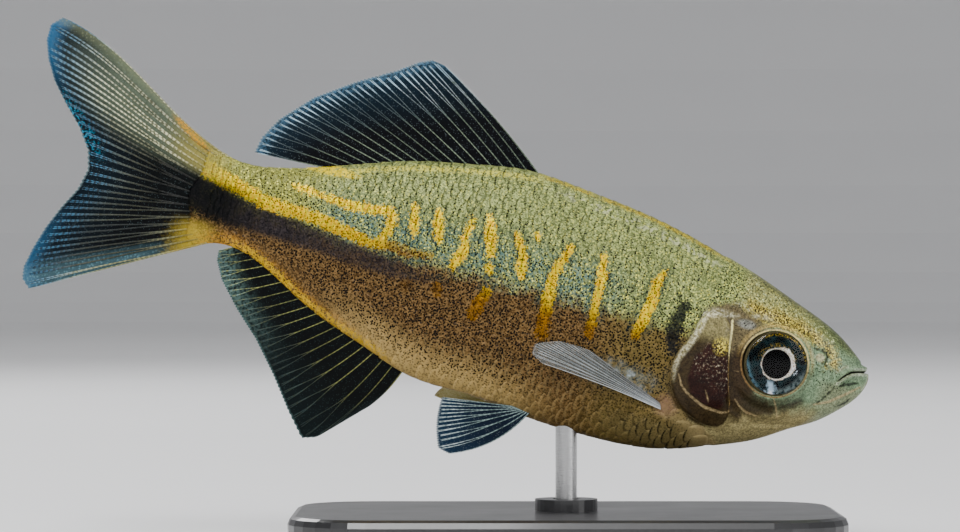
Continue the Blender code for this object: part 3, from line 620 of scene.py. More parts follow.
def relief(s, y, h):
    """Height of the skin's small forms above the body's outline, in millimetres."""
    flank = ease(np.abs(y), 0.25, 0.9)
    away = np.hypot(s - EYE_S, h - EYE_H)
    up = np.zeros_like(s)

    depth = loop_depth(s, h, gill_loop)
    rear = ease(s, 13.6, 15.6)
    up += flank * GILL_COVER_STEP * ease(depth, -0.08, 0.1) * rear
    up += flank * 0.1 * ease(depth, 0.1, 1.4) * rear
    up -= flank * 0.22 * ridge(depth + 0.22, 0.16) * rear
    up += flank * 0.1 * ridge(depth - 0.32, 0.2) * rear

    fold = line_distance(s, h, PREOPERCLE)
    front_of = np.interp(h, fold_places[:, 1], fold_places[:, 0])
    held = ease(h, -8.0, -6.5) * (1 - ease(h, 1.8, 3.0)) * flank
    up += held * 0.13 * ridge(fold, 0.22)
    up -= held * 0.14 * ridge(s - front_of - 0.42, 0.2)
    up -= held * 0.06 * ridge(s - front_of + 1.2, 0.5)

    under = -depth
    folds = 0.5 + 0.5 * np.cos(2 * math.pi * under / 0.55)
    below = (1 - ease(h, -8.0, -7.2)) * (1 - ease(under, 1.4, 1.9)) * ease(under, 0.25, 0.4)
    up -= flank * 0.09 * folds * below * ease(s, 11.5, 13.5) * (1 - ease(s, 18.5, 19.5))

    mouth_h = mouth_curve(np.clip(s, -3.0, 3.1))[..., 0]
    over = h - mouth_h
    mouth = line_distance(s, h, MOUTH_LINE)
    corner = 1 - ease(s, 2.7, 3.4)
    up -= (0.12 + 0.33 * (1 - ease(s, 1.0, 2.8))) * ridge(mouth, 0.09) * corner
    up += 0.22 * ridge(over - 0.34, 0.2) * corner * ease(s, NOSE_S, 0.3)
    up += 0.26 * ridge(over + 0.4, 0.22) * corner * ease(s, NOSE_S, 0.3)
    up -= 0.1 * ridge(over - 0.85, 0.16) * corner * ease(s, 0.2, 0.8)
    up -= 0.12 * ridge(over + 0.95, 0.18) * corner * ease(s, 0.5, 1.1)
    jaw = line_distance(s, h, jaw_line)
    up -= 0.1 * ridge(jaw, 0.18) * ease(s, 2.6, 3.2) * (1 - ease(-h, 4.2, 6.5))
    under_jaw = ease(s, 4.5, 6.5) * (1 - ease(s, 11.0, 13.0)) * flank
    up -= 0.1 * ridge(h + 7.0 + 0.25 * (s - 8.0), 0.2) * under_jaw

    near = np.hypot(s - 5.25, h - 0.85)
    up += flank * 0.12 * (1 - ease(near, 0.3, 0.75))
    hollow = line_distance(s, h, ((6.0, 1.6), (5.0, 1.5), (4.6, 1.0), (4.75, 0.4)))
    up -= flank * 0.3 * ridge(hollow, 0.14)

    cheek = (1 - ease(h, -1.0, 1.0)) * ease(away, 3.9, 4.2) * (1 - ease(away, 6.6, 7.2)) * flank
    up += cheek * 0.05 * np.cos(2 * math.pi * (away - 4.2) / 1.3) * (1 - ease(s, 13.0, 14.0))
    brow = line_distance(s, h, ((4.0, 2.6), (7.0, 3.5), (10.0, 3.9), (13.0, 3.6), (15.0, 2.9)))
    up += flank * 0.07 * ridge(brow, 0.3)

    up -= UNDER_SCALES * ease(behind_neck(s, h), 0.0, 0.9)
    return up


def make_skin(finish):
    places = ring_places()
    last = len(places) - 1

    def where(u, v):
        s = places[np.rint(u * last).astype(int)]
        turn = 2 * math.pi * v
        y, h = section(np.minimum(s, BODY_END), turn)
        y = narrowed(s, y)
        lobe = np.cos(2 * math.pi * (h - FIN_ROOT_MIDDLE) / 4.6) * 0.25
        shift = (stem_end(h) - BODY_END + lobe) * ease(s, BODY_END - 8.0, BODY_END + SKIN_END_OVERLAP)
        normal = outward(s, turn)
        raised = relief(s, y, h) * (1 - ease(s, BODY_END - 1.0, BODY_END)) * MM
        y = fit_orbit(s, y, h)
        y = np.where(u > 1 - 0.5 / last, 0.0, y)
        return place(s + shift, y, h) + normal * raised[:, None]

    bm = bmesh.new()
    sheet(bm, last, RING_SIDES, where)
    merge(bm)
    nodes = ("head", "lower_jaw", "gill_cover_right", "gill_cover_left", "trunk", "caudal_peduncle")
    skin = add_piece("skin", bm, finish, nodes)
    s, h = mark_body(skin.data)
    mark_distance(skin.data, "cover", loop_depth(s, h, gill_loop))
    mark_distance(skin.data, "orbit", eye_distance(s, h))
    for name, strokes in {**HEAD_STROKES, "fold": (PREOPERCLE,), "mouth": (MOUTH_LINE,)}.items():
        mark_strokes(skin.data, name, s, h, strokes)


# Scales


def arc_table(places):
    """Turns of the right flank, and at each place their distance along the skin from its widest line."""
    turns = np.linspace(0.0, math.pi, 241)
    rows = []
    for s in places:
        y, h = section(np.full(len(turns), s), turns)
        steps = np.hypot(np.diff(y), np.diff(h))
        arc = np.concatenate(((0.0,), np.cumsum(steps)))
        rows.append(arc - np.interp(math.pi / 2, turns, arc))
    return turns, rows


def scale_size(s):
    return 1 + (SCALE_SHRINK - 1) * ease(s, 40.0, 68.0)


def scale_roots(side, rng):
    """s, turn, turn for each millimetre, and size of every scale of one side."""
    steps = [12.4]
    while steps[-1] < 71.2:
        steps.append(steps[-1] + SCALE_LENGTH * scale_size(steps[-1]) / 2)
    turns, arcs = arc_table(steps)
    roots = []
    for n, (s, arc) in enumerate(zip(steps, arcs)):
        size = scale_size(s)
        pitch = SCALE_ROW * size
        rows = np.arange(-20, 21)
        for row in rows[(rows + n) % 2 == 0]:
            along_arc = row * pitch + rng.normal(0, 0.03)
            if not arc[0] + 0.25 * pitch < along_arc < arc[-1] - 0.25 * pitch:
                continue
            turn = np.interp(along_arc, arc, turns)
            y, h = section(np.array(s), np.array(turn))
            if behind_neck(s, h) < 0.75 or s > stem_end(h) + 0.25:
                continue
            if np.hypot((s - 19.6) / 1.5, (h + 8.0) / 1.6) < 1 and abs(y) > 2:
                continue
            rate = np.interp(along_arc + 0.2, arc, turns) - np.interp(along_arc - 0.2, arc, turns)
            roots.append((s + rng.normal(0, 0.03), turn, rate / 0.4, size))
    if side > 0:
        roots = [(s, 2 * math.pi - turn, -rate, size) for s, turn, rate, size in roots]
    return roots


def make_scales(name, side, finish):
    rng = np.random.default_rng(7 + side)
    roots = scale_roots(side, rng)
    bm = bmesh.new()
    for _ in roots:
        bmesh.ops.create_grid(bm, x_segments=SCALE_CELLS, y_segments=SCALE_CELLS, size=1.0)
    flat = np.array([vertex.co[:2] for vertex in bm.verts])
    square_s, square_a = flat[:, 0], flat[:, 1]
    round_s = square_s * (1 - 0.32 * np.abs(square_a) ** 2.6)
    round_a = square_a * (1 - 0.12 * square_s**2)
    each = (SCALE_CELLS + 1) ** 2
    s0, turn0, rate, size = (np.repeat(column, each) for column in np.array(roots).T)
    lean = np.repeat(rng.normal(0, 0.02, len(roots)), each)
    tilt = np.repeat(rng.normal(0, 0.006, len(roots)), each)
    along = round_s * 1.02 * size
    across = round_a * 1.22 * size
    s = s0 + along + lean * across
    turn = turn0 + across * rate
    shape_y, shape_h = section(s, turn)
    _, low_edge, _, _ = body_at(s)
    flat_belly = 0.4 + 0.6 * ease(shape_h - low_edge, 0.5, 4.0)
    flat_belly = flat_belly * (1 - 0.6 * ease(s, 56.0, 66.0))
    lift = -0.045 + ((0.042 + tilt) * square_s + 0.01 * (1 - square_a**2)) * flat_belly
    points = place(s, narrowed(s, shape_y), shape_h) + outward(s, turn) * (lift * MM)[:, None]
    for vertex, point in zip(bm.verts, points):
        vertex.co = point
    turn_faces(bm)
    scales = add_piece(name, bm, finish)
    mark_body(scales.data)
    add_mark(scales.data, "margin", np.maximum(square_s, 0.0) * (1 - 0.1 * square_a**2))
    add_mark(scales.data, "across", round_a)
    add_mark(scales.data, "chance", np.repeat(rng.random(len(roots)), each))
    unwrap = scales.data.uv_layers.new(name="OFBake")
    u = 0.04 + 0.92 * s0 / 75.0 + 0.0015 * square_s
    v = 0.04 + 0.92 * turn0 / (2 * math.pi) + 0.0015 * square_a
    corners = np.empty(len(scales.data.loops), int)
    scales.data.loops.foreach_get("vertex_index", corners)
    unwrap.data.foreach_set("uv", np.column_stack((u, v))[corners].ravel())
    add_wall(scales, SCALE_THICKNESS, -1.0)


# Eyes


def eye_profile_point(side, radius, turn, out):
    """A point of the eye, from its distance to the axis, its turn about it and its height along it."""
    centre_s, centre_y, centre_h = eye_centre(side)
    yaw = side * EYE_YAW
    s = radius * np.cos(turn)
    y = side * out
    h = radius * np.sin(turn)
    turned_s = s * math.cos(yaw) - y * math.sin(yaw)
    turned_y = s * math.sin(yaw) + y * math.cos(yaw)
    return place(centre_s + turned_s, centre_y + turned_y, centre_h + h)


def make_eye(name, side, finish):
    profile = np.array(EYE_PROFILE)
    count = np.arange(len(profile))
    walk = np.concatenate(((0.0,), np.cumsum(np.hypot(*np.diff(profile, axis=0).T))))
    dense = np.interp(np.linspace(0, walk[-1], EYE_ROWS + 1), walk, count)

    def ring(u, v):
        return np.interp(dense[np.rint(u * EYE_ROWS).astype(int)], count, profile[:, 0])

    def where(u, v):
        out = np.interp(dense[np.rint(u * EYE_ROWS).astype(int)], count, profile[:, 1])
        return eye_profile_point(side, ring(u, v), 2 * math.pi * v, out)

    bm = bmesh.new()
    sheet(bm, EYE_ROWS, EYE_SIDES, where, (("ring", ring),))
    merge(bm)
    add_piece(name, bm, finish, (name,))


def make_cornea(name, side, finish):
    def where(u, v):
        outer = u <= 0.5
        share = np.where(outer, 2 * u, 2 * (1 - u))
        radius = CORNEA_RADIUS * np.sin(share * math.pi / 2)
        dome = CORNEA_RISE * np.cos(share * math.pi / 2)
        out = np.where(outer, CORNEA_FOOT + dome, CORNEA_FOOT - CORNEA_THICKNESS * (1 - share**6))
        return eye_profile_point(side, radius, 2 * math.pi * v, out)

    bm = bmesh.new()
    sheet(bm, CORNEA_ROWS, CORNEA_SIDES, where)
    merge(bm)
    add_piece(name, bm, finish)


# Fins


def middle_line(base, margin, edge, sink):
    """Roots and tips of the rays of a fin in the middle plane."""
    places, tip_s, tip_h = (np.array(column) for column in zip(*margin))

    def line(u):
        s = base[0] + (base[1] - base[0]) * u
        root = np.stack((s, 0 * s, body_at(s)[edge] + sink), axis=-1)
        tip = np.stack((np.interp(u, places, tip_s), 0 * u, np.interp(u, places, tip_h)), axis=-1)
        return root, tip

    return line


def caudal_line(u):
    back, belly, _, _ = body_at(np.array(FIN_ROOT_S))
    h = back + (belly - back) * u
    places, tip_s, tip_h = (np.array(column) for column in zip(*CAUDAL_MARGIN))
    root = np.stack((stem_end(h) - CAUDAL_SINK, 0 * h, h * 0.97), axis=-1)
    tip = np.stack((np.interp(u, places, tip_s), 0 * u, np.interp(u, places, tip_h)), axis=-1)
    return root, tip


def fan_line(side, roots, directions, lengths):
    """Roots and tips of the rays of a paired fin, and the direction across it."""
    first, last = (np.array((back, side * out, up)) for back, out, up in directions)
    first = first / np.linalg.norm(first)
    last = last / np.linalg.norm(last)
    places, reaches = zip(*lengths)
    start, stop = (np.array(root, float) for root in roots)

    def line(u):
        share = u[:, None]
        root = start + (stop - start) * share
        direction = first + (last - first) * share
        direction = direction / np.linalg.norm(direction, axis=1, keepdims=True)
        return root, root + direction * np.interp(u, places, reaches)[:, None]

    across = np.cross(first, last)
    return line, across / np.linalg.norm(across)


class Fin:
    """A fin's middle surface, from the leading ray at u 0 to the last at 1, and from root to tip."""

    def __init__(self, name, rays, line, across, bend, fork, wave):
        self.name = name
        self.rays = rays
        self.line = line
        self.across = np.array(across, float)
        self.bend = bend
        self.fork = fork
        self.wave = wave

    def length(self, u):
        root, tip = self.line(u)
        return np.linalg.norm(tip - root, axis=1)

    def surface(self, u, v, out=0.0):
        """Points of the fin in the fish's frame."""
        u = np.clip(u, 0.0, 1.0)
        root, tip = self.line(u)
        along = tip - root
        side = np.cross(along, self.across)
        points = root + along * v[:, None] + side * self.bend(u, v)[:, None]
        ripple = self.wave * np.sin(2 * math.pi * (1.3 * u + 0.35)) * v**1.5
        return points + self.across * (ripple + out)[:, None]


def simple_bend(bow):
    return lambda u, v: bow * (1 - u) ** 3 * 4 * v * (1 - v)


def caudal_bend(u, v):
    return CAUDAL_BOW * (1 - u) ** 3 * v * (1 - v) * (v - CAUDAL_BEND_TURN)


def twig_u(fin, ray, twig, v, branched):
    """Where a twig of a branched ray runs."""
    pitch = 1 / (fin.rays - 1)
    first, second = twig
    spread = first * TWIG_SPREAD * ease(v, fin.fork, fin.fork + 0.5)
    spread = spread + second * TWIG_SPLIT * ease(v, fin.fork + 0.3, 1.05)
    return ray * pitch + branched * spread * pitch


def make_rays(fin, finish, thick, thin):
    """Branched rays, each of four thin bars that part on their way to the margin."""
    bm = bmesh.new()
    for ray in range(fin.rays):
        branched = float(np.clip(ray / 2.0, 0.0, 1.0))
        reach = 1.0 - 0.012 * (ray % 3)
        for twig in TWIGS:

            def where(u, v, ray=ray, twig=twig, branched=branched, reach=reach):
                share = u**0.9 * reach
                line_u = twig_u(fin, ray, twig, share, branched)
                radius = thick + (thin - thick) * share**0.7
                radius = radius * (1 - ease(u, 0.97, 1.0)) * ease(u, -0.02, 0.01)
                turn = 2 * math.pi * v
                middle = fin.surface(line_u, share)
                ahead = fin.surface(line_u, share + 0.01) - middle
                ahead /= np.linalg.norm(ahead, axis=1, keepdims=True)
                beside = np.cross(ahead, fin.across)
                ring = fin.across * (np.sin(turn) * 1.5)[:, None] + beside * (np.cos(turn) * 0.75)[:, None]
                point = middle + ring * radius[:, None]
                return place(point[:, 0], point[:, 1], point[:, 2])

            def along(u, v, ray=ray, reach=reach):
                return u**0.9 * reach * fin.length(np.full(1, ray / (fin.rays - 1)))[0]

            def share_of(u, v, reach=reach):
                return u**0.9 * reach

            def ray_of(u, v, ray=ray):
                return np.full(len(u), ray / (fin.rays - 1))

            marks = (("reach", along), ("share", share_of), ("ray", ray_of))
            sheet(bm, TWIG_SEGMENTS, TWIG_SIDES, where, marks)
    merge(bm)
    add_piece(fin.name + "_rays", bm, finish, (fin.name,))


def make_membrane(fin, finish):
    """The thin web between the rays, with its edge drawn in between their tips."""

    def edge_share(u):
        between = 0.5 - 0.5 * np.cos(2 * math.pi * u * (fin.rays - 1) * 4)
        return 1 - WEB_DIP * between / np.maximum(fin.length(u), 1e-6)

    def where(u, v):
        share = v * edge_share(u)
        point = fin.surface(u, share)
        return place(point[:, 0], point[:, 1], point[:, 2])

    marks = (
        ("share", lambda u, v: v),
        ("ray", lambda u, v: u),
        ("reach", lambda u, v: v * fin.length(u)),
        ("left", lambda u, v: (1 - v) * fin.length(u)),
    )
    bm = bmesh.new()
    sheet(bm, (fin.rays - 1) * WEB_COLUMNS, WEB_ROWS, where, marks)
    turn_faces(bm)
    add_wall(add_piece(fin.name + "_web", bm, finish), WEB_THICKNESS, 0.0)


# Finishes


class Value:
    """A number or colour of a finish, on which sums are written as Python expressions."""

    def __init__(self, finish, socket):
        self.finish = finish
        self.socket = socket

    def math(self, operation, *others):
        return self.finish.node("ShaderNodeMath", {"operation": operation}, self, *others)

    def __add__(self, other):
        return self.math("ADD", other)

    __radd__ = __add__

    def __mul__(self, other):
        return self.math("MULTIPLY", other)

    __rmul__ = __mul__

    def __sub__(self, other):
        return self.math("SUBTRACT", other)

    def __rsub__(self, other):
        return self.finish.node("ShaderNodeMath", {"operation": "SUBTRACT"}, other, self)

    def __truediv__(self, other):
        return self.math("DIVIDE", other)

    def __pow__(self, other):
        return self.math("POWER", other)

    def most(self, other):
        return self.math("MAXIMUM", other)

    def wave(self):
        return self.math("SINE")

    def size(self):
        return self.math("ABSOLUTE")

    def ease(self, low, high):
        """0 below low, 1 above high and smooth between; low may be the higher one."""
        settings = {"interpolation_type": "SMOOTHSTEP"}
        if low < high:
            return self.finish.node("ShaderNodeMapRange", settings, self, low, high, 0.0, 1.0)
        return self.finish.node("ShaderNodeMapRange", settings, self, high, low, 1.0, 0.0)


class Finish:
    """A material that is built up from expressions."""

    def __init__(self, name, **constants):
        self.material = bpy.data.materials.new(name)
        self.material.use_nodes = True
        self.tree = self.material.node_tree
        self.shader = self.tree.nodes["Principled BSDF"]
        for socket, value in constants.items():
            self.shader.inputs[socket.replace("_", " ")].default_value = value

    def node(self, kind, settings=None, *values, output=0, **named):
        """Adds a node: its settings first, then its sockets in order or by name."""
        node = self.tree.nodes.new(kind)
        for key, value in (settings or {}).items():
            setattr(node, key, value)
        given = list(enumerate(values)) + [(key.replace("_", " "), value) for key, value in named.items()]
        for key, value in given:
            self.give(node.inputs[key], value)
        return Value(self, node.outputs[output])

    def give(self, socket, value):
        if isinstance(value, Value):
            self.tree.links.new(value.socket, socket)
        elif isinstance(value, tuple) and socket.type == "RGBA":
            socket.default_value = (*value, 1.0)
        else:
            socket.default_value = value

    def mix(self, share, low, high, blend="MIX"):
        """A colour between two."""
        node = self.tree.nodes.new("ShaderNodeMix")
        node.data_type = "RGBA"
        node.blend_type = blend
        node.clamp_factor = True
        for key, value in ((MIX_SHARE, share), (MIX_LOW, low), (MIX_HIGH, high)):
            self.give(node.inputs[key], value)
        return Value(self, node.outputs[MIX_RESULT])

    def tint(self, colour, by):
        """A colour times another."""
        return self.mix(1.0, colour, by, "MULTIPLY")

    def attribute(self, name):
        return self.node("ShaderNodeAttribute", {"attribute_name": name}, output="Fac")

    def coordinates(self):
        if not hasattr(self, "where"):
            self.where = self.node("ShaderNodeTexCoord", output="Object")
        return self.where

    def parts(self, kind, value):
        """The three numbers that a point or a colour is made of."""
        node = self.tree.nodes.new(kind)
        self.give(node.inputs[0], value)
        return [Value(self, socket) for socket in node.outputs]

    def fish_place(self):
        """s, y and h of the shaded point, in millimetres."""
        x, y, z = self.parts("ShaderNodeSeparateXYZ", self.coordinates())
        x = x / MM - SNOUT_X
        z = z / MM - SNOUT_Z
        s = z * math.sin(NOSE_DOWN) - x * math.cos(NOSE_DOWN)
        h = x * math.sin(NOSE_DOWN) + z * math.cos(NOSE_DOWN)
        return s, y / MM, h

    def noise(self, pitch, detail=2.0, rough=0.5):
        """Soft noise from 0 to 1 with the given pitch in millimetres."""
        names = {"Scale": 1 / (pitch * MM), "Detail": detail, "Roughness": rough}
        return self.node("ShaderNodeTexNoise", None, Vector=self.coordinates(), **names)

    def cells(self, pitch, output=0):
        """Distance to the nearest of scattered points, in shares of the pitch, or the cell's own colour."""
        sockets = {"Vector": self.coordinates(), "Scale": 1 / (pitch * MM)}
        return self.node("ShaderNodeTexVoronoi", None, output=output, **sockets)

    def bump(self, height, distance, strength=1.0):
        """Bumps of the height, in millimetres."""
        node = self.tree.nodes.new("ShaderNodeBump")
        node.inputs["Strength"].default_value = strength
        node.inputs["Distance"].default_value = distance * MM
        self.give(node.inputs["Height"], height)
        self.tree.links.new(node.outputs[0], self.shader.inputs["Normal"])

    def put(self, socket, value):
        self.give(self.shader.inputs[socket], value)


def blob(s, h, at_s, at_h, reach_s, reach_h, soft=0.5):
    """1 inside an ellipse and 0 outside, with a soft edge."""
    away_s = (s - at_s) / reach_s
    away_h = (h - at_h) / reach_h
    away = (away_s * away_s + away_h * away_h) ** 0.5
    return away.ease(1.0, 1.0 - soft)


def ground_colours(f, s, h, keel, collar, lower, blur, speck_red, speck_green, speck_blue):
    """The silvery green of the flank and the brown of the belly."""
    glitter = f.cells(0.34).ease(0.3, 0.2)
    sheen = f.mix(speck_red.ease(0.2, 0.8), tone(108, 118, 70), tone(172, 182, 112))
    teal = h.ease(5.5, 2.5) * speck_blue.ease(0.3, 0.7) * s.ease(24.0, 30.0) * s.ease(61.0, 55.0)
    sheen = f.mix(teal * 0.8, sheen, tone(86, 122, 122))
    sheen = f.mix(s.ease(56.0, 62.0) * 0.6, sheen, tone(150, 148, 58))
    sheen = f.mix(glitter * (h.ease(7.0, 3.0) * 0.45 + 0.5), sheen, tone(255, 250, 110))
    brown = f.mix(speck_red.ease(0.25, 0.75), tone(76, 54, 26), tone(126, 98, 58))
    olive = s.ease(30.0, 24.0) * 0.5
    brown = f.mix(olive, brown, tone(118, 106, 54))
    brown = f.mix(keel.ease(5.0, 0.3) * s.ease(58.0, 48.0) * s.ease(27.0, 40.0), brown, tone(196, 166, 102))
    brown = f.mix(blob(s, h, 19.0, -11.0, 9.0, 2.4, 0.7) * 0.5, brown, tone(120, 108, 70))
    brown = f.mix(collar * 0.85, brown, f.mix(blur, tone(128, 110, 68), tone(196, 176, 124)))
    ground = f.mix(lower, sheen, brown)
    warm_stem = keel.ease(1.8, 0.3) * s.ease(46.0, 54.0)
    ground = f.mix(warm_stem * 0.7 * speck_green.ease(0.2, 0.6), ground, tone(206, 146, 40))
    return ground


def back_colours(f, s, y, h, ground, top, dots, blur, speck_green):
    """The golden line along the nape, a pale yellow line under the back's edge, a painted highlight band a
    little lower along the front of the back, and the yellow saddle.
    """
    front = s.ease(38.5, 36.5) * s.ease(15.0, 19.0)
    gold_ridge = f.mix(speck_green, tone(110, 92, 10), tone(240, 208, 20))
    broken = (blur.ease(0.3, 0.6) * 0.6 + 0.3) * (y.size().ease(0.3, 1.5) * 0.7 + 0.3)
    ground = f.mix(top.ease(0.65, 0.3) * front * broken * (1.0 - dots), ground, gold_ridge)
    pale_line = top.ease(0.45, 0.7) * top.ease(1.3, 0.9) * s.ease(36.0, 39.0) * s.ease(62.0, 56.0)
    ground = f.mix(pale_line * speck_green.ease(0.3, 0.6) * 0.8, ground, tone(232, 222, 84))
    # painted highlight: a pale band of light along the upper back behind the nape
    painted_highlight_row = top.ease(0.8, 1.2) * top.ease(2.0, 1.5) * s.ease(16.0, 19.0) * s.ease(38.0, 32.0)
    ground = f.mix(painted_highlight_row * f.noise(0.5, 1.0).ease(0.5, 0.62) * 0.6, ground, tone(210, 214, 170))
    saddle = blob(s, h, 59.5, 6.4, 5.2, 0.75)
    ground = f.mix(saddle * speck_green.ease(0.1, 0.4), ground, tone(246, 216, 4))
    return ground


def bar_colours(f, s, h, ground, edge, dots, speck_green, speck_blue):
    """The yellow bars and stripes, where they lie, and how full their colour is there."""
    gold = f.attribute("gold")
    gold_mask = edge.ease(0.05, -0.07)
    dull = s.ease(44.5, 46.0) * s.ease(52.0, 49.5) * h.ease(1.6, 0.9)
    fade = h.ease(-4.0, 0.0) * 0.3 + 0.7 - s.ease(43.5, 44.5) * h.ease(-1.5, -2.0) * 0.3 - dull * 0.35
    bright = f.mix(speck_green, tone(232, 168, 0), tone(240, 222, 0))
    deep = f.mix(speck_green, tone(84, 52, 0), tone(160, 106, 4))
    gold_colour = f.mix((h + s.ease(50.0, 40.0) * 1.2).ease(2.0, -1.6) + dull * 0.5, bright, deep)
    halo = gold.ease(1.0, 0.2) * h.ease(-2.5, -1.0) * s.ease(52.0, 50.0)
    ground = f.mix(halo * (1.0 - gold_mask) * speck_blue.ease(0.2, 0.6) * 0.5, ground, tone(40, 62, 58))
    ground = f.mix(gold_mask * fade, ground, gold_colour)
    ground = f.mix(gold_mask * dots * (dull * 0.2 + 0.8), ground, tone(40, 22, 0))
    return ground, gold_mask, gold_mask * fade


def breast_colours(f, s, h, ground, rough_edge):
    """A painted milky blue sheen with painted highlights on the breast above the pectoral fin, and the pink
    patch behind the gill cover.
    """
    painted_sheen_cloud = f.noise(0.7, 3.0)
    # painted sheen: a milky blue reflection on the flank, with brighter painted highlights in its core
    blue = blob(s, h, 25.0, -6.2, 5.6, 2.0, 0.9)
    ground = f.mix(blue * painted_sheen_cloud.ease(0.25, 0.55) * 0.7, ground, tone(122, 130, 122))
    ground = f.mix(blue * painted_sheen_cloud.ease(0.52, 0.7) * 0.45, ground, tone(206, 222, 230))
    pink = blob(s, h, 19.3, -7.9, 1.7, 1.6, 0.7)
    ground = f.mix(pink * (rough_edge * 0.6 + 0.2), ground, tone(170, 132, 104))
    return ground


def scale_edges(f, s, h, ground, margin, dots, dot_distance, speck_red):
    """Dark and pale edges of the scales over the markings, and the height of their fine ridges."""
    across = f.attribute("across")
    chance = f.attribute("chance")
    breast = blob(s, h, 18.0, -11.0, 8.0, 2.4, 0.6)
    seen = (h.ease(-1.5, 3.5) * s.ease(60.0, 50.0) * 0.95 + breast) * (1.0 - across * across * 0.8)
    border = margin.ease(0.74, 0.88) * (dots * 0.5 + breast * 0.3 + 0.45)
    ground = f.mix(border * seen, ground, tone(20, 22, 12))
    pale_edge = margin.ease(0.6, 0.9) * h.ease(-6.0, -9.0) * s.ease(22.0, 30.0)
    ground = f.mix(pale_edge * 0.2, ground, tone(206, 176, 116))
    ground = f.tint(ground, f.mix(chance, (0.9, 0.9, 0.9), (1.12, 1.12, 1.12)))
    striae = ((across * 34.0).wave() * 0.5 + 0.5) * margin.ease(0.1, 0.6)
    return ground, striae * 0.012 + dot_distance * 0.02 + speck_red * 0.012


def skin_finish(name, scaled):
    """The fish's markings, alike on the skin and on the scales over it."""
    f = Finish(name, Coat_Roughness=0.12, Specular_IOR_Level=0.07)
    s, y, h = f.fish_place()
    blur = f.noise(1.6, 3.0)
    rough_edge = f.noise(0.35, 2.0)
    fine_edge = f.noise(0.16, 1.0)
    dot_distance = f.cells(0.235)
    specks = f.parts("ShaderNodeSeparateColor", f.cells(0.15, output=1))
    speck_red, speck_green, speck_blue = specks
    keel = f.attribute("keel")
    back_depth = f.attribute("ridge")
    neck = f.attribute("neck")

    lower = (h + (blur - 0.5) * 2.4 + (rough_edge - 0.5) * 2.4).ease(1.0, -1.4)
    collar = neck.ease(4.5, 0.0) * h.ease(-7.5, -9.5)
    ground = ground_colours(f, s, h, keel, collar, lower, blur, *specks)

    dots = (dot_distance + (fine_edge - 0.5) * 0.3 - lower * 0.04).ease(0.44, 0.3)
    dot_share = lower * 0.2 + h.ease(9.0, 2.0) * 0.4 + 0.65
    dot_share = dot_share * (keel.ease(0.2, 4.5) * 0.75 + 0.25) * (1.0 - collar * 0.6)
    breast_dots = h.ease(-6.0, -9.0) * s.ease(38.0, 30.0)
    dot_share = dot_share * (1.0 - breast_dots * 0.55)
    if scaled:
        margin = f.attribute("margin")
        dot_share = dot_share * (1.0 - h.ease(1.5, 4.0) * margin.ease(0.75, 0.55) * 0.55)
    ground = f.mix(dots * dot_share * 1.25, ground, tone(10, 9, 6))

    top = back_depth + (rough_edge - 0.5) * 0.5
    ground = back_colours(f, s, y, h, ground, top, dots, blur, speck_green)
    anal_glow = (keel + (rough_edge - 0.5) * 1.2).ease(1.0, 0.6) * s.ease(46.0, 50.0) * s.ease(68.0, 64.0)
    ground = f.mix(anal_glow * speck_green.ease(0.1, 0.6) * 0.85, ground, tone(226, 182, 30))

    stripe = (f.attribute("stripe") + (blur - 0.5) * 0.8 + (fine_edge - 0.5) * 0.6).ease(0.55, -0.5)
    stripe_share = s.ease(42.0, 51.0) * 0.78 + s.ease(54.0, 62.0) * 0.2
    dark = f.mix(speck_green, tone(12, 11, 15), tone(56, 49, 50))
    ground = f.mix(stripe * stripe_share * (blur * 0.6 + 0.7), ground, dark)

    edge = f.attribute("gold") + (rough_edge - 0.5) * 1.1 + (fine_edge - 0.5) * 0.9
    ground, gold_mask, full_gold = bar_colours(f, s, h, ground, edge, dots, speck_green, speck_blue)

    brow = top.ease(1.0, 0.2) * s.ease(16.0, 12.0) * s.ease(0.5, 3.0)
    shoulder = f.attribute("shoulder") + (rough_edge - 0.5) * 1.6 + (fine_edge - 0.5) * 1.0
    shoulder = shoulder.ease(0.25, -0.3)
    ground = f.mix(shoulder * (dots * 0.1 + 0.9), ground, f.mix(speck_red, tone(3, 5, 9), tone(24, 28, 32)))
    ground = root_colours(f, s, h, ground, fine_edge)
    ground = breast_colours(f, s, h, ground, rough_edge)

    if scaled:
        ground, height = scale_edges(f, s, h, ground, margin, dots, dot_distance, speck_red)
    else:
        ground, height = head_markings(f, s, h, ground, dots, *specks)
        ground = f.mix(brow * 0.55, ground, tone(44, 50, 28))
        grain = f.noise(0.2, 4.0, 0.75).ease(0.36, 0.64)
        grained = f.tint(ground, f.mix(grain, (0.54, 0.54, 0.52), (1.42, 1.42, 1.36)))
        ground = f.mix(neck.ease(1.0, -0.5), ground, grained)
        height = height + dot_distance * 0.012
    bright_speck = speck_green.ease(0.72, 0.95) * (1.0 - dots) * h.ease(-3.0, 1.0) * s.ease(64.0, 58.0)
    keep = (full_gold * (1.0 - dots)).most(bright_speck * 0.9)
    ground = f.tint(ground, f.mix(keep, (0.82, 0.82, 0.82), (0.92, 0.95, 0.85)))
    f.put("Base Color", ground)
    f.put("Roughness", speck_blue * 0.2 + lower * 0.08 + 0.3)
    glassy = neck.ease(0.5, -0.5) * (h.ease(-1.0, 1.5) * 0.3 + 0.1) + 0.02
    f.put("Coat Weight", glassy * (1.0 - gold_mask * 0.8))
    f.put("Metallic", (1.0 - dots) * (speck_green.ease(0.35, 0.8) * 0.15 + gold_mask * 0.45))
    f.bump(height, 1.0, 0.6)
    return f.material


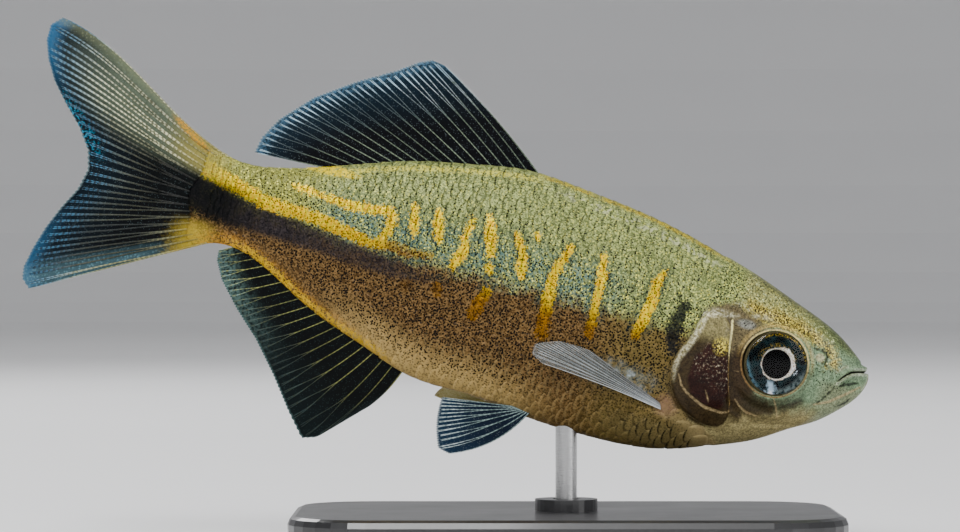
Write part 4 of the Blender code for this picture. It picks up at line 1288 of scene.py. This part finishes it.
def root_colours(f, s, h, colour, fine):
    """The dark wedge and the yellow patches where the body passes into the tail fin."""
    ragged = s + (fine - 0.5) * 3.0
    pale = ragged.ease(67.0, 71.0)
    upper = pale * ragged.ease(76.5, 71.5) * (h - (s - 70.0) * 0.35).ease(1.4, 3.2)
    colour = f.mix(upper * 0.8, colour, f.mix(fine, tone(116, 108, 46), tone(186, 172, 84)))
    low = pale * ragged.ease(73.6, 70.2) * (h + (s - 70.0) * 0.12).ease(-1.4, -3.2)
    colour = f.mix(low * 0.85, colour, f.mix(fine, tone(130, 112, 28), tone(206, 180, 58)))
    orange = blob(s, h - (s - 73.0) * 0.57, 73.0, 6.2, 2.8, 0.6)
    colour = f.mix(orange * fine.ease(0.35, 0.65) * 0.85, colour, tone(226, 160, 12))
    wedge = s.ease(62.0, 69.0) * (h - 0.3 - (s - 70.0) * 0.1 + (fine - 0.5) * 1.4).size().ease(2.8, 1.4)
    return f.mix(wedge * s.ease(80.0, 74.0) * (fine * 0.9 + 0.45), colour, tone(3, 6, 7))


def head_colours(f, s, h, dots, few_dots, soft, fine, speck_red, speck_green, speck_blue):
    """Crown, snout, cheek, temple, throat and chin with their freckles and smoky patches, and a painted
    glossy highlight on the crown.
    """
    crown = f.mix(soft, tone(116, 120, 72), tone(176, 176, 116))
    crown = f.mix(speck_green.ease(0.6, 0.9) * 0.6, crown, tone(222, 212, 120))
    crown = f.mix(dots * 0.85 * (s.ease(6.0, 10.0) * 0.6 + 0.4), crown, tone(12, 14, 6))
    snout = f.mix(soft, tone(74, 90, 56), tone(130, 140, 92))
    crown = f.mix(s.ease(9.0, 4.0), crown, snout)
    crown = f.mix(speck_blue.ease(0.75, 0.95) * 0.6, crown, tone(226, 236, 176))
    # painted highlight: pale glossy glints on the crown above the eye
    painted_crown_highlight = blob(s, h, 14.0, 3.4, 5.0, 0.9, 0.8) * f.noise(0.32, 3.0, 0.7).ease(0.54, 0.62)
    crown = f.mix(painted_crown_highlight * 0.7, crown, tone(214, 222, 216))
    silver = f.mix(soft * 0.5 + fine * 0.5, tone(44, 72, 52), tone(160, 186, 148))
    throat = f.mix(soft * 0.6 + fine * 0.4, tone(98, 86, 48), tone(196, 182, 130))
    temple = f.mix(soft * 0.5 + fine * 0.5, tone(44, 36, 22), tone(138, 124, 90))
    side = f.mix(s.ease(9.5, 13.0), silver, temple)
    low = h + s * 0.26 + (soft - 0.5) * 1.4
    side = f.mix(low.ease(-2.2, -4.2), side, throat)
    chin = f.mix(soft * 0.6 + fine * 0.4, tone(60, 72, 48), tone(170, 180, 142))
    side = f.mix(s.ease(5.5, 3.5) * h.ease(-1.0, -2.0), side, chin)
    head = f.mix((h - s * 0.14 + (soft - 0.5) * 1.2).ease(1.0, 2.2), side, crown)
    freckled = blob(s, h, 4.6, -0.6, 3.8, 3.0, 0.7)
    head = f.mix(few_dots * (low.ease(-2.0, -1.0) * 0.5 + freckled * 0.8), head, tone(14, 18, 12))

    golden = (f.attribute("golden") + (fine - 0.5) * 1.4 + (soft - 0.5) * 1.2).ease(0.7, -0.5)
    gold_colour = f.mix(speck_red.ease(0.3, 0.7), tone(120, 96, 30), tone(240, 216, 96))
    head = f.mix(golden * 0.8, head, gold_colour)
    head = f.mix(golden * few_dots.most(dots), head, tone(16, 14, 6))
    fine_dots = f.cells(0.2).ease(0.34, 0.2)
    head = f.mix(fine_dots * golden.most(low.ease(0.5, 3.0)).most(freckled) * 0.85, head, tone(18, 20, 10))
    smoke = (f.attribute("smoke") + (soft - 0.5) * 1.2).ease(0.8, -0.4)
    head = f.mix(smoke * 0.9, head, f.mix(fine, tone(22, 14, 6), tone(60, 42, 24)))
    clear_patch = blob(s, h, 13.6, 2.1, 1.25, 0.62, 0.5)
    head = f.mix(clear_patch * 0.9, head, f.mix(fine, tone(96, 96, 88), tone(160, 160, 152)))
    head = f.mix(clear_patch * few_dots, head, tone(22, 20, 18))
    return head


def gill_cover_colours(f, s, h, head, few_dots, soft, fine, speck_red, speck_green):
    """The dark plate with its pale rim, where the gills show through it with painted glints on them, and
    painted shade in the groove outside its edge.
    """
    cover = f.attribute("cover")
    in_cover = cover.ease(-0.05, 0.12)
    plate = f.mix(soft * 0.5 + fine * 0.5, tone(8, 5, 2), tone(70, 55, 32))
    plate = f.mix(h.ease(-1.2, 0.8), plate, f.mix(fine, tone(96, 88, 56), tone(170, 160, 112)))
    plate = f.mix(h.ease(0.6, 1.6) * few_dots * 0.7, plate, tone(40, 36, 26))
    head = f.mix(in_cover * 0.95, head, plate)
    gill = (f.attribute("gill") + (soft - 0.5) * 0.5).ease(0.5, 0.0)
    # painted glints: gold-brown and white highlights on the wet gills
    painted_gill_glints = f.noise(0.26, 4.0, 0.7).ease(0.54, 0.66) * (h - s * 0.5).ease(-13.5, -10.5)
    red = f.mix(soft, tone(12, 6, 4), tone(58, 26, 20))
    painted_glint_colour = f.mix(speck_red, tone(120, 90, 50), tone(236, 222, 196))
    head = f.mix(gill * in_cover * 0.97, head, f.mix(painted_gill_glints * 0.75, red, painted_glint_colour))
    gold_top = blob(s, h, 15.5, -0.7, 1.1, 1.2, 0.7) * speck_green.ease(0.35, 0.6)
    head = f.mix(gold_top * 0.9, head, tone(236, 214, 90))
    rim = cover.ease(-0.1, 0.1) * (cover + (soft - 0.5) * 0.5).ease(0.8, 0.3)
    rim = rim * s.ease(16.2, 17.6) * h.ease(-5.2, -2.5)
    rim_colour = f.mix(fine.ease(0.35, 0.65), tone(150, 136, 92), tone(250, 242, 204))
    head = f.mix(rim * (soft.ease(0.3, 0.6) * 0.4 + h.ease(-3.0, 0.0) * 0.25 + 0.3), head, rim_colour)
    rim_line = (cover - 0.14 + (fine - 0.5) * 0.12).size().ease(0.1, 0.02)
    rim_line = rim_line * s.ease(16.6, 17.6) * h.ease(-5.0, -2.0)
    head = f.mix(rim_line * (fine.ease(0.35, 0.6) * 0.5 + 0.3), head, tone(252, 246, 214))
    # painted shade: a dark band in the groove just outside the gill cover's edge
    gap = cover.ease(-0.35, -0.2) * cover.ease(-0.02, -0.08) * s.ease(14.5, 16.0)
    head = f.mix(gap * 0.6, head, tone(60, 48, 32))
    return head, gill * in_cover


def eye_and_mouth_colours(f, s, h, head, fine):
    """The ring round the eye with painted shade in the groove outside it and under the eyeball's edge, the
    nostril's flap, and the lips with a painted shade line in the mouth's slit.
    """
    orbit = f.attribute("orbit")
    ring = orbit.ease(3.3, 3.36) * orbit.ease(3.56, 3.42)
    ring_colour = f.mix(h.ease(-1.8, 1.2), tone(126, 96, 56), tone(240, 218, 150))
    head = f.mix(ring * 0.85, head, ring_colour)
    # painted shade in the groove round the eye's rim, dark brown below and pale gold above
    shade = orbit.ease(3.62, 3.7) * orbit.ease(4.2, 3.8)
    head = f.mix(shade * 0.4, head, f.mix(h.ease(-1.8, 1.2), tone(60, 44, 26), tone(206, 176, 104)))
    # painted shade: black where the skin runs in under the eyeball's edge
    head = f.mix(orbit.ease(3.32, 3.2), head, tone(10, 10, 10))

    flap = blob(s, h, 5.45, 0.75, 0.6, 0.55, 0.5)
    head = f.mix(flap * 0.7, head, tone(196, 188, 146))
    mouth = f.attribute("mouth")
    lip = mouth.ease(0.5, 0.3) * s.ease(2.2, 1.2)
    head = f.mix(lip * 0.5, head, f.mix(fine, tone(150, 158, 140), tone(206, 212, 196)))
    # painted shade: a black line in the slit between the lips
    head = f.mix(mouth.ease(0.13, 0.05) * s.ease(3.3, 2.8), head, tone(8, 8, 6))
    return head


def head_markings(f, s, h, ground, dots, speck_red, speck_green, speck_blue):
    """Colours of the head over those of the body, and the height of its small bumps."""
    neck = f.attribute("neck")
    fold = f.attribute("fold")
    soft = f.noise(1.1, 3.0)
    fine = f.noise(0.3, 2.0)
    on_head = (neck + h.ease(2.5, 4.5) * 2.0 + (soft - 0.5) * 1.6).ease(0.6, -1.0)

    few_dots = f.cells(0.33).ease(0.3, 0.16)
    specks = (speck_red, speck_green, speck_blue)
    head = head_colours(f, s, h, dots, few_dots, soft, fine, *specks)

    head, gill = gill_cover_colours(f, s, h, head, few_dots, soft, fine, speck_red, speck_green)
    fold_width = fold - h.ease(-2.0, 0.0) * 0.07
    bright_fold = fold_width.ease(0.07, 0.01) * h.ease(-7.6, -6.6)
    fold_colour = f.mix(h.ease(-2.4, -0.6), tone(140, 114, 60), tone(246, 234, 166))
    head = f.mix(bright_fold * (fine * 0.8 + 0.35), head, fold_colour)
    head = f.mix(f.attribute("cream").ease(0.1, -0.02) * 0.6, head, tone(186, 162, 118))
    white = (f.attribute("white") + (fine - 0.5) * 0.7).ease(0.3, -0.3)
    white_colour = f.mix(fine.ease(0.4, 0.65), tone(150, 142, 104), tone(250, 246, 214))
    head = f.mix(white * (fine * 0.8 + 0.3), head, white_colour)
    # dark lines along the jaw and round the nostril, with a painted shadow under the lower lip
    marks = f.attribute("jaw") + (fine - 0.5) * 0.3
    head = f.mix(marks.ease(0.12, -0.06) * 0.85, head, tone(16, 18, 12))

    head = eye_and_mouth_colours(f, s, h, head, fine)

    ground = f.mix(on_head, ground, head)
    return ground, gill * f.noise(0.3, 3.0) * 0.3 + fine * 0.04


def eye_finish():
    """A black pupil in a silver ring, and a dark iris with gold above, with painted blue reflections and
    painted white highlights below.
    """
    f = Finish("eye", Roughness=0.6, Specular_IOR_Level=0.0)
    ring = f.attribute("ring")
    s, _, h = f.fish_place()
    fine = f.noise(0.12, 2.0)
    cloud = f.noise(0.5, 3.0)
    up = h - EYE_H
    ahead = EYE_S - s
    iris = f.mix(cloud.ease(0.4, 0.75), tone(1, 6, 9), tone(26, 52, 56))
    outer_band = ring.ease(2.3, 2.8)
    # painted reflection: a pale blue arc on the lower left of the iris
    blue = ring.ease(2.6, 2.95) * (ahead * -0.8 - up * 0.55).ease(1.8, 2.8) * cloud.ease(0.35, 0.6)
    iris = f.mix(blue * 0.6, iris, tone(110, 160, 182))
    # painted reflection: a blue-grey patch on the lower right of the iris
    far_painted_reflection = outer_band * (ahead * 0.7 - up * 0.7).ease(1.8, 2.9) * cloud.ease(0.6, 0.4)
    iris = f.mix(far_painted_reflection * 0.6, iris, tone(130, 150, 150))
    # painted highlight: blue-white and white streaks at the bottom of the iris
    streak = (ahead - 0.05 + (up + 1.7) * 0.25).size() * (up * 0.25 + 1.35) + (cloud - 0.5) * 0.9
    iris = f.mix(streak.ease(0.42, 0.12) * up.ease(-1.6, -2.1), iris, tone(176, 206, 228))
    iris = f.mix(streak.ease(0.3, 0.1) * up.ease(-2.6, -2.9), iris, tone(250, 252, 255))
    specks = f.cells(0.15).ease(0.5, 0.25)
    gold_rim = ring.ease(2.75, 3.0) * up.ease(0.4, 2.0) * specks
    iris = f.mix(gold_rim, iris, tone(236, 196, 24))
    gold_ring = ring.ease(2.25, 1.9) * specks * up.ease(-0.2, 1.0)
    iris = f.mix(gold_ring * 0.7, iris, tone(180, 150, 50))
    wide = (ahead * 0.8 + up * 0.35).ease(0.3, 1.6)
    uneven = (fine - 0.5) * 0.16 + (cloud - 0.5) * 0.5
    silver = ring.ease(1.46, 1.52) * (ring - wide * 0.3 + uneven).ease(1.7, 1.6)
    colour = f.mix(silver, iris, f.mix(fine.ease(0.35, 0.6), tone(176, 150, 104), tone(255, 255, 250)))
    # painted highlight: white glints to the right of the pupil
    painted_glint = blob(ahead, up, 2.1, -0.3, 0.45, 0.5, 0.4) * f.cells(0.2).ease(0.4, 0.25)
    colour = f.mix(painted_glint, colour, tone(226, 236, 246))
    colour = f.mix(ring.ease(1.49, 1.45), colour, tone(1, 1, 2))
    colour = f.mix(ring.ease(3.02, 3.12), colour, f.mix(fine, tone(24, 24, 20), tone(92, 84, 56)))
    f.put("Base Color", colour)
    f.put("Metallic", silver * 0.3)
    f.bump(fine, 0.04, 0.6)
    return f.material


def cornea_finish():
    f = Finish("cornea", Roughness=0.0, IOR=1.24, Transmission_Weight=1.0)
    f.put("Base Color", (1.0, 1.0, 1.0))
    return f.material


def web_finish(kind):
    deep, far, _, streak = (tone(*row) for row in FIN_TONES[kind])
    f = Finish(kind + "_web", Roughness=0.45, Specular_IOR_Level=0.08)
    share = f.attribute("share")
    left = f.attribute("left")
    ray = f.attribute("ray")
    s, y, h = f.fish_place()
    fine = f.noise(0.25, 3.0)
    far_share = share.ease(0.4, 1.0) * (fine * 0.8 + 0.3)
    colour = f.mix(far_share * 0.7, deep, far)
    colour = f.mix(left.ease(0.25, 0.05) * 0.3, colour, streak)
    if kind == "caudal_fin":
        colour = caudal_colours(f, ray, share, left, fine, colour)
        colour = root_colours(f, s, h, colour, fine)
    if kind == "anal_fin":
        pale = left.ease(3.0, 0.6) * ray.ease(0.3, 0.8) * fine.ease(0.3, 0.7)
        colour = f.mix(pale * 0.6, colour, tone(100, 130, 124))
    if kind == "pelvic_fin":
        colour = f.mix(y.ease(0.5, 1.5) * 0.7, colour, tone(196, 176, 96))
    if kind == "dorsal_fin":
        colour = f.mix(left.ease(1.5, 0.2) * fine.ease(0.3, 0.7) * 0.6, colour, tone(86, 130, 160))
    specks = f.cells(0.2).ease(0.26, 0.1)
    colour = f.mix(specks * 0.15, colour, streak)
    f.put("Base Color", f.tint(colour, FIN_DEPTH))
    if kind == "pectoral_fin":
        f.put("Alpha", share.ease(0.0, 0.3) * -0.1 + 0.38)
    f.bump(fine, 0.03, 0.3)
    return f.material


def caudal_colours(f, ray, share, left, fine, colour):
    """The silvery upper lobe, the blue tips and the pale lower edge of the tail fin."""
    upper = ray.ease(0.45, 0.2)
    silver_lobe = upper * share.ease(1.0, 0.5) * (fine * 0.7 + 0.3)
    colour = f.mix(silver_lobe * 0.8, colour, tone(116, 130, 108))
    blue_rim = left.ease(2.2, 0.2) * (ray - 0.5).size().ease(0.15, 0.4) * (1.0 - ray.ease(0.6, 0.8) * 0.35)
    colour = f.mix(blue_rim * 0.6, colour, tone(56, 116, 162))
    lower_edge = ray.ease(0.87, 0.98) * share.ease(0.1, 0.4) * (f.cells(0.3).ease(0.5, 0.1) * 0.6 + 0.4)
    colour = f.mix(lower_edge * 0.6, colour, tone(110, 154, 166))
    upper_edge = ray.ease(0.05, 0.0) * (f.cells(0.3).ease(0.5, 0.1) * 0.6 + 0.4)
    colour = f.mix(upper_edge * 0.7, colour, tone(140, 146, 110))
    cyan = (ray - 0.4).size().ease(0.12, 0.04) * left.ease(2.4, 0.6) * fine.ease(0.5, 0.62)
    return f.mix(cyan * 0.6, colour, tone(50, 170, 210))


def ray_finish(kind):
    _, _, pale, streak = (tone(*row) for row in FIN_TONES[kind])
    gap = tuple(part * share for part, share in zip(pale, BEAD_GAP))
    f = Finish(kind + "_rays", Specular_IOR_Level=0.3)
    share = f.attribute("share")
    reach = f.attribute("reach")
    ray = f.attribute("ray")
    fine = f.noise(0.22, 2.0)
    beads = (reach * (2 * math.pi / 0.5) + ray * 40.0 + fine * 9.0).wave().ease(-0.9, 0.9)
    s, y, h = f.fish_place()
    colour = f.mix(beads * 0.6 + fine * 0.3, gap, pale)
    colour = f.mix(share.ease(0.5, 0.9) * fine.ease(0.3, 0.7), colour, streak)
    if kind == "caudal_fin":
        middle = (ray - 0.59).size().ease(0.29, 0.2)
        colour = f.mix(middle * (1.0 - fine * 0.4), colour, tone(10, 22, 26))
        upper = ray.ease(0.45, 0.2) * beads * share.ease(0.95, 0.6)
        colour = f.mix(upper * 0.85, colour, tone(244, 244, 206))
        under = ray.ease(0.68, 0.8) * ray.ease(0.99, 0.93) * share.ease(0.15, 0.4)
        colour = f.mix(under * 0.85, colour, tone(6, 20, 28))
        blue = f.mix(beads, tone(8, 38, 60), tone(70, 140, 180))
        colour = f.mix(share.ease(0.7, 0.92) * 0.8, colour, blue)
        colour = root_colours(f, s, h, colour, fine)
    if kind == "dorsal_fin":
        hidden = share.ease(0.35, 0.6) * share.ease(0.95, 0.84) * ray.ease(0.05, 0.3)
        colour = f.mix(hidden * 0.75, colour, tone(22, 46, 62))
        bright = share.ease(0.5, 0.8) * ray.ease(0.4, 0.1) * fine.ease(0.3, 0.6)
        colour = f.mix(bright, colour, tone(226, 240, 246))
        colour = f.mix(share.ease(0.8, 0.9) * fine.ease(0.25, 0.5), colour, tone(196, 230, 250))
    if kind == "anal_fin":
        colour = f.mix(share.ease(0.35, 0.65) * ray.ease(0.75, 0.5) * 0.85, colour, tone(18, 36, 38))
    if kind == "pectoral_fin":
        colour = f.mix(0.8, colour, f.mix(fine, tone(140, 146, 148), tone(216, 222, 226)))
        colour = f.mix(ray.ease(0.25, 0.0) * 0.8, colour, tone(250, 254, 255))
        colour = f.mix(ray.ease(0.5, 1.0) * 0.6, colour, tone(96, 88, 78))
    if kind == "pelvic_fin":
        colour = f.mix(y.ease(0.5, 1.5) * 0.7, colour, tone(214, 190, 80))
    vary = (ray * 91.0).wave().ease(-1.0, 0.6) * 0.7 + 0.3
    colour = f.tint(colour, f.mix(vary, (0.4, 0.42, 0.44), (1.0, 1.0, 1.0)))
    f.put("Base Color", f.tint(colour, FIN_DEPTH))
    f.put("Metallic", beads * share.ease(0.05, 0.3) * 0.25)
    f.put("Roughness", share.ease(0.3, 0.05) * 0.4 + 0.35)
    if kind != "pectoral_fin":
        f.bump(beads, 0.03, 0.7)
    return f.material


def base_finish():
    f = Finish("stand_lacquer", Coat_Weight=0.4, Coat_Roughness=0.08)
    grain = f.noise(0.5, 4.0)
    wear = f.noise(9.0, 3.0)
    f.put("Base Color", f.mix(grain, tone(26, 26, 27), tone(40, 40, 42)))
    f.put("Roughness", wear * 0.2 + 0.25)
    f.bump(grain, 0.02, 0.3)
    return f.material


def rod_finish():
    f = Finish("stand_steel", Metallic=1.0)
    squeezed = f.node("ShaderNodeMapping", None, Vector=f.coordinates(), Scale=(1.0, 1.0, 30.0))
    brush = f.node("ShaderNodeTexNoise", None, Vector=squeezed, Scale=900.0, Detail=3.0)
    f.put("Base Color", f.mix(brush, tone(150, 150, 150), tone(206, 206, 206)))
    f.put("Roughness", brush * 0.2 + 0.2)
    f.bump(brush, 0.01, 0.3)
    return f.material


def floor_finish():
    f = Finish("studio_floor", Roughness=0.7)
    f.put("Base Color", f.mix(f.noise(60.0, 3.0), tone(244, 244, 245), tone(248, 248, 249)))
    return f.material


# The model


def paired_shapes(side_name, side):
    """Kind, ending of the name, number of rays, lines, direction across and bend of one side's fins."""
    ending = "_" + side_name
    ahead, inwards = PECTORAL_SINK
    roots = [(s - ahead, side * (flank_y(s, h) + PECTORAL_CLEAR - inwards), h) for s, h in PECTORAL_ROOT]
    line, across = fan_line(side, roots, (PECTORAL_LEADING, PECTORAL_INNER), PECTORAL_LENGTHS)
    pectoral = ("pectoral_fin", ending, PECTORAL_RAYS, line, across, simple_bend(PECTORAL_BOW))
    rise = PELVIC_SINK - PELVIC_CLEAR
    roots = [(s, side * PELVIC_Y, belly_h(s, PELVIC_Y) + rise) for s in PELVIC_ROOT]
    line, across = fan_line(side, roots, PELVIC_DIRECTIONS[side_name], PELVIC_LENGTHS)
    return pectoral, ("pelvic_fin", ending, PELVIC_RAYS, line, across, simple_bend(PELVIC_BOW))


def make_fins():
    upright = (0.0, 1.0, 0.0)
    dorsal = middle_line(DORSAL_BASE, DORSAL_MARGIN, 0, -FIN_SINK)
    anal = middle_line(ANAL_BASE, ANAL_MARGIN, 1, FIN_SINK)
    shapes = [
        ("dorsal_fin", "", DORSAL_RAYS, dorsal, upright, simple_bend(DORSAL_BOW)),
        ("anal_fin", "", ANAL_RAYS, anal, upright, simple_bend(-ANAL_BOW)),
        ("caudal_fin", "", CAUDAL_RAYS, caudal_line, upright, caudal_bend),
    ]
    for side_name, side in SIDES:
        shapes.extend(paired_shapes(side_name, side))
    finishes = {kind: (web_finish(kind), ray_finish(kind)) for kind in FIN_BUILD}
    for kind, ending, rays, line, across, bend in shapes:
        fork, wave, thick, thin = FIN_BUILD[kind]
        slot = "clear_fin" if kind == "pectoral_fin" else "fin"
        fin = Fin(kind + ending, rays, line, across, bend, fork, wave)
        web, ray = finishes[kind]
        make_rays(fin, ray, thick, thin)
        make_membrane(fin, web)


def make_stand_finishes():
    for node, finish in (("stand_base", base_finish()), ("stand_rod", rod_finish())):
        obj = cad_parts[node]
        if not obj.material_slots:
            obj.data.materials.append(finish)
        for material_slot in obj.material_slots:
            material_slot.material = finish


def make_fish():
    make_skin(skin_finish("skin", False))
    scale_finish = skin_finish("scales", True)
    eye = eye_finish()
    cornea = cornea_finish()
    for side_name, side in SIDES:
        make_scales("scales_" + side_name, side, scale_finish)
        make_eye("eye_" + side_name, side, eye)
        make_cornea("cornea_" + side_name, side, cornea)
    make_fins()


# Studio


def make_floor():
    """A round floor that sweeps up into a low wall, far outside every camera."""
    bm = bmesh.new()
    bmesh.ops.create_circle(bm, cap_ends=True, segments=FLOOR_SIDES, radius=FLOOR_RADIUS)
    rim = bm.edges[:]
    for step in range(1, FLOOR_STEPS + 2):
        turn = min(step / FLOOR_STEPS, 1.0) * math.pi / 2
        radius = FLOOR_RADIUS + FLOOR_SWEEP * math.sin(turn)
        height = FLOOR_SWEEP * (1 - math.cos(turn)) + (WALL_RISE if step > FLOOR_STEPS else 0.0)
        grown = bmesh.ops.extrude_edge_only(bm, edges=rim)["geom"]
        corners = {item for item in grown if isinstance(item, bmesh.types.BMVert)}
        for corner in corners:
            away = math.hypot(corner.co.x, corner.co.y)
            corner.co = (corner.co.x * radius / away, corner.co.y * radius / away, height)
        rim = [edge for edge in bm.edges if corners.issuperset(edge.verts)]
    mesh = bpy.data.meshes.new("studio_sweep")
    bm.to_mesh(mesh)
    bm.free()
    mesh.materials.append(floor_finish())
    floor = add_object("studio_sweep", mesh)


def add_light(name, at, size, power):
    """A lamp that faces the model."""
    light = bpy.data.lights.new(name, "AREA")
    light.shape = "RECTANGLE"
    light.size, light.size_y = size
    light.energy = power
    obj = add_object(name, light)
    obj.location = at
    direction = np.array((CAMERA_X * MM, 0.0, CAMERA_Z * MM)) - np.array(at)
    obj.rotation_euler = Vector(direction).to_track_quat("-Z", "Y").to_euler()


def make_studio():
    make_floor()
    for row in LIGHTS:
        add_light(*row)
    world = bpy.data.worlds.new("studio")
    bpy.context.scene.world = world
    world.use_nodes = True
    background = world.node_tree.nodes["Background"]
    background.inputs["Color"].default_value = WORLD_COLOUR
    background.inputs["Strength"].default_value = WORLD_STRENGTH


def make_camera():
    camera = bpy.data.cameras.new("camera")
    camera.lens = CAMERA_LENS
    camera.clip_start = 0.01
    camera.clip_end = 20.0
    obj = add_object("camera", camera)
    obj.location = (CAMERA_X * MM, -CAMERA_AWAY * MM, CAMERA_Z * MM)
    obj.rotation_euler = (math.pi / 2, 0.0, 0.0)
    bpy.context.scene.camera = obj


make_camera()
make_fish()
make_stand_finishes()
make_studio()
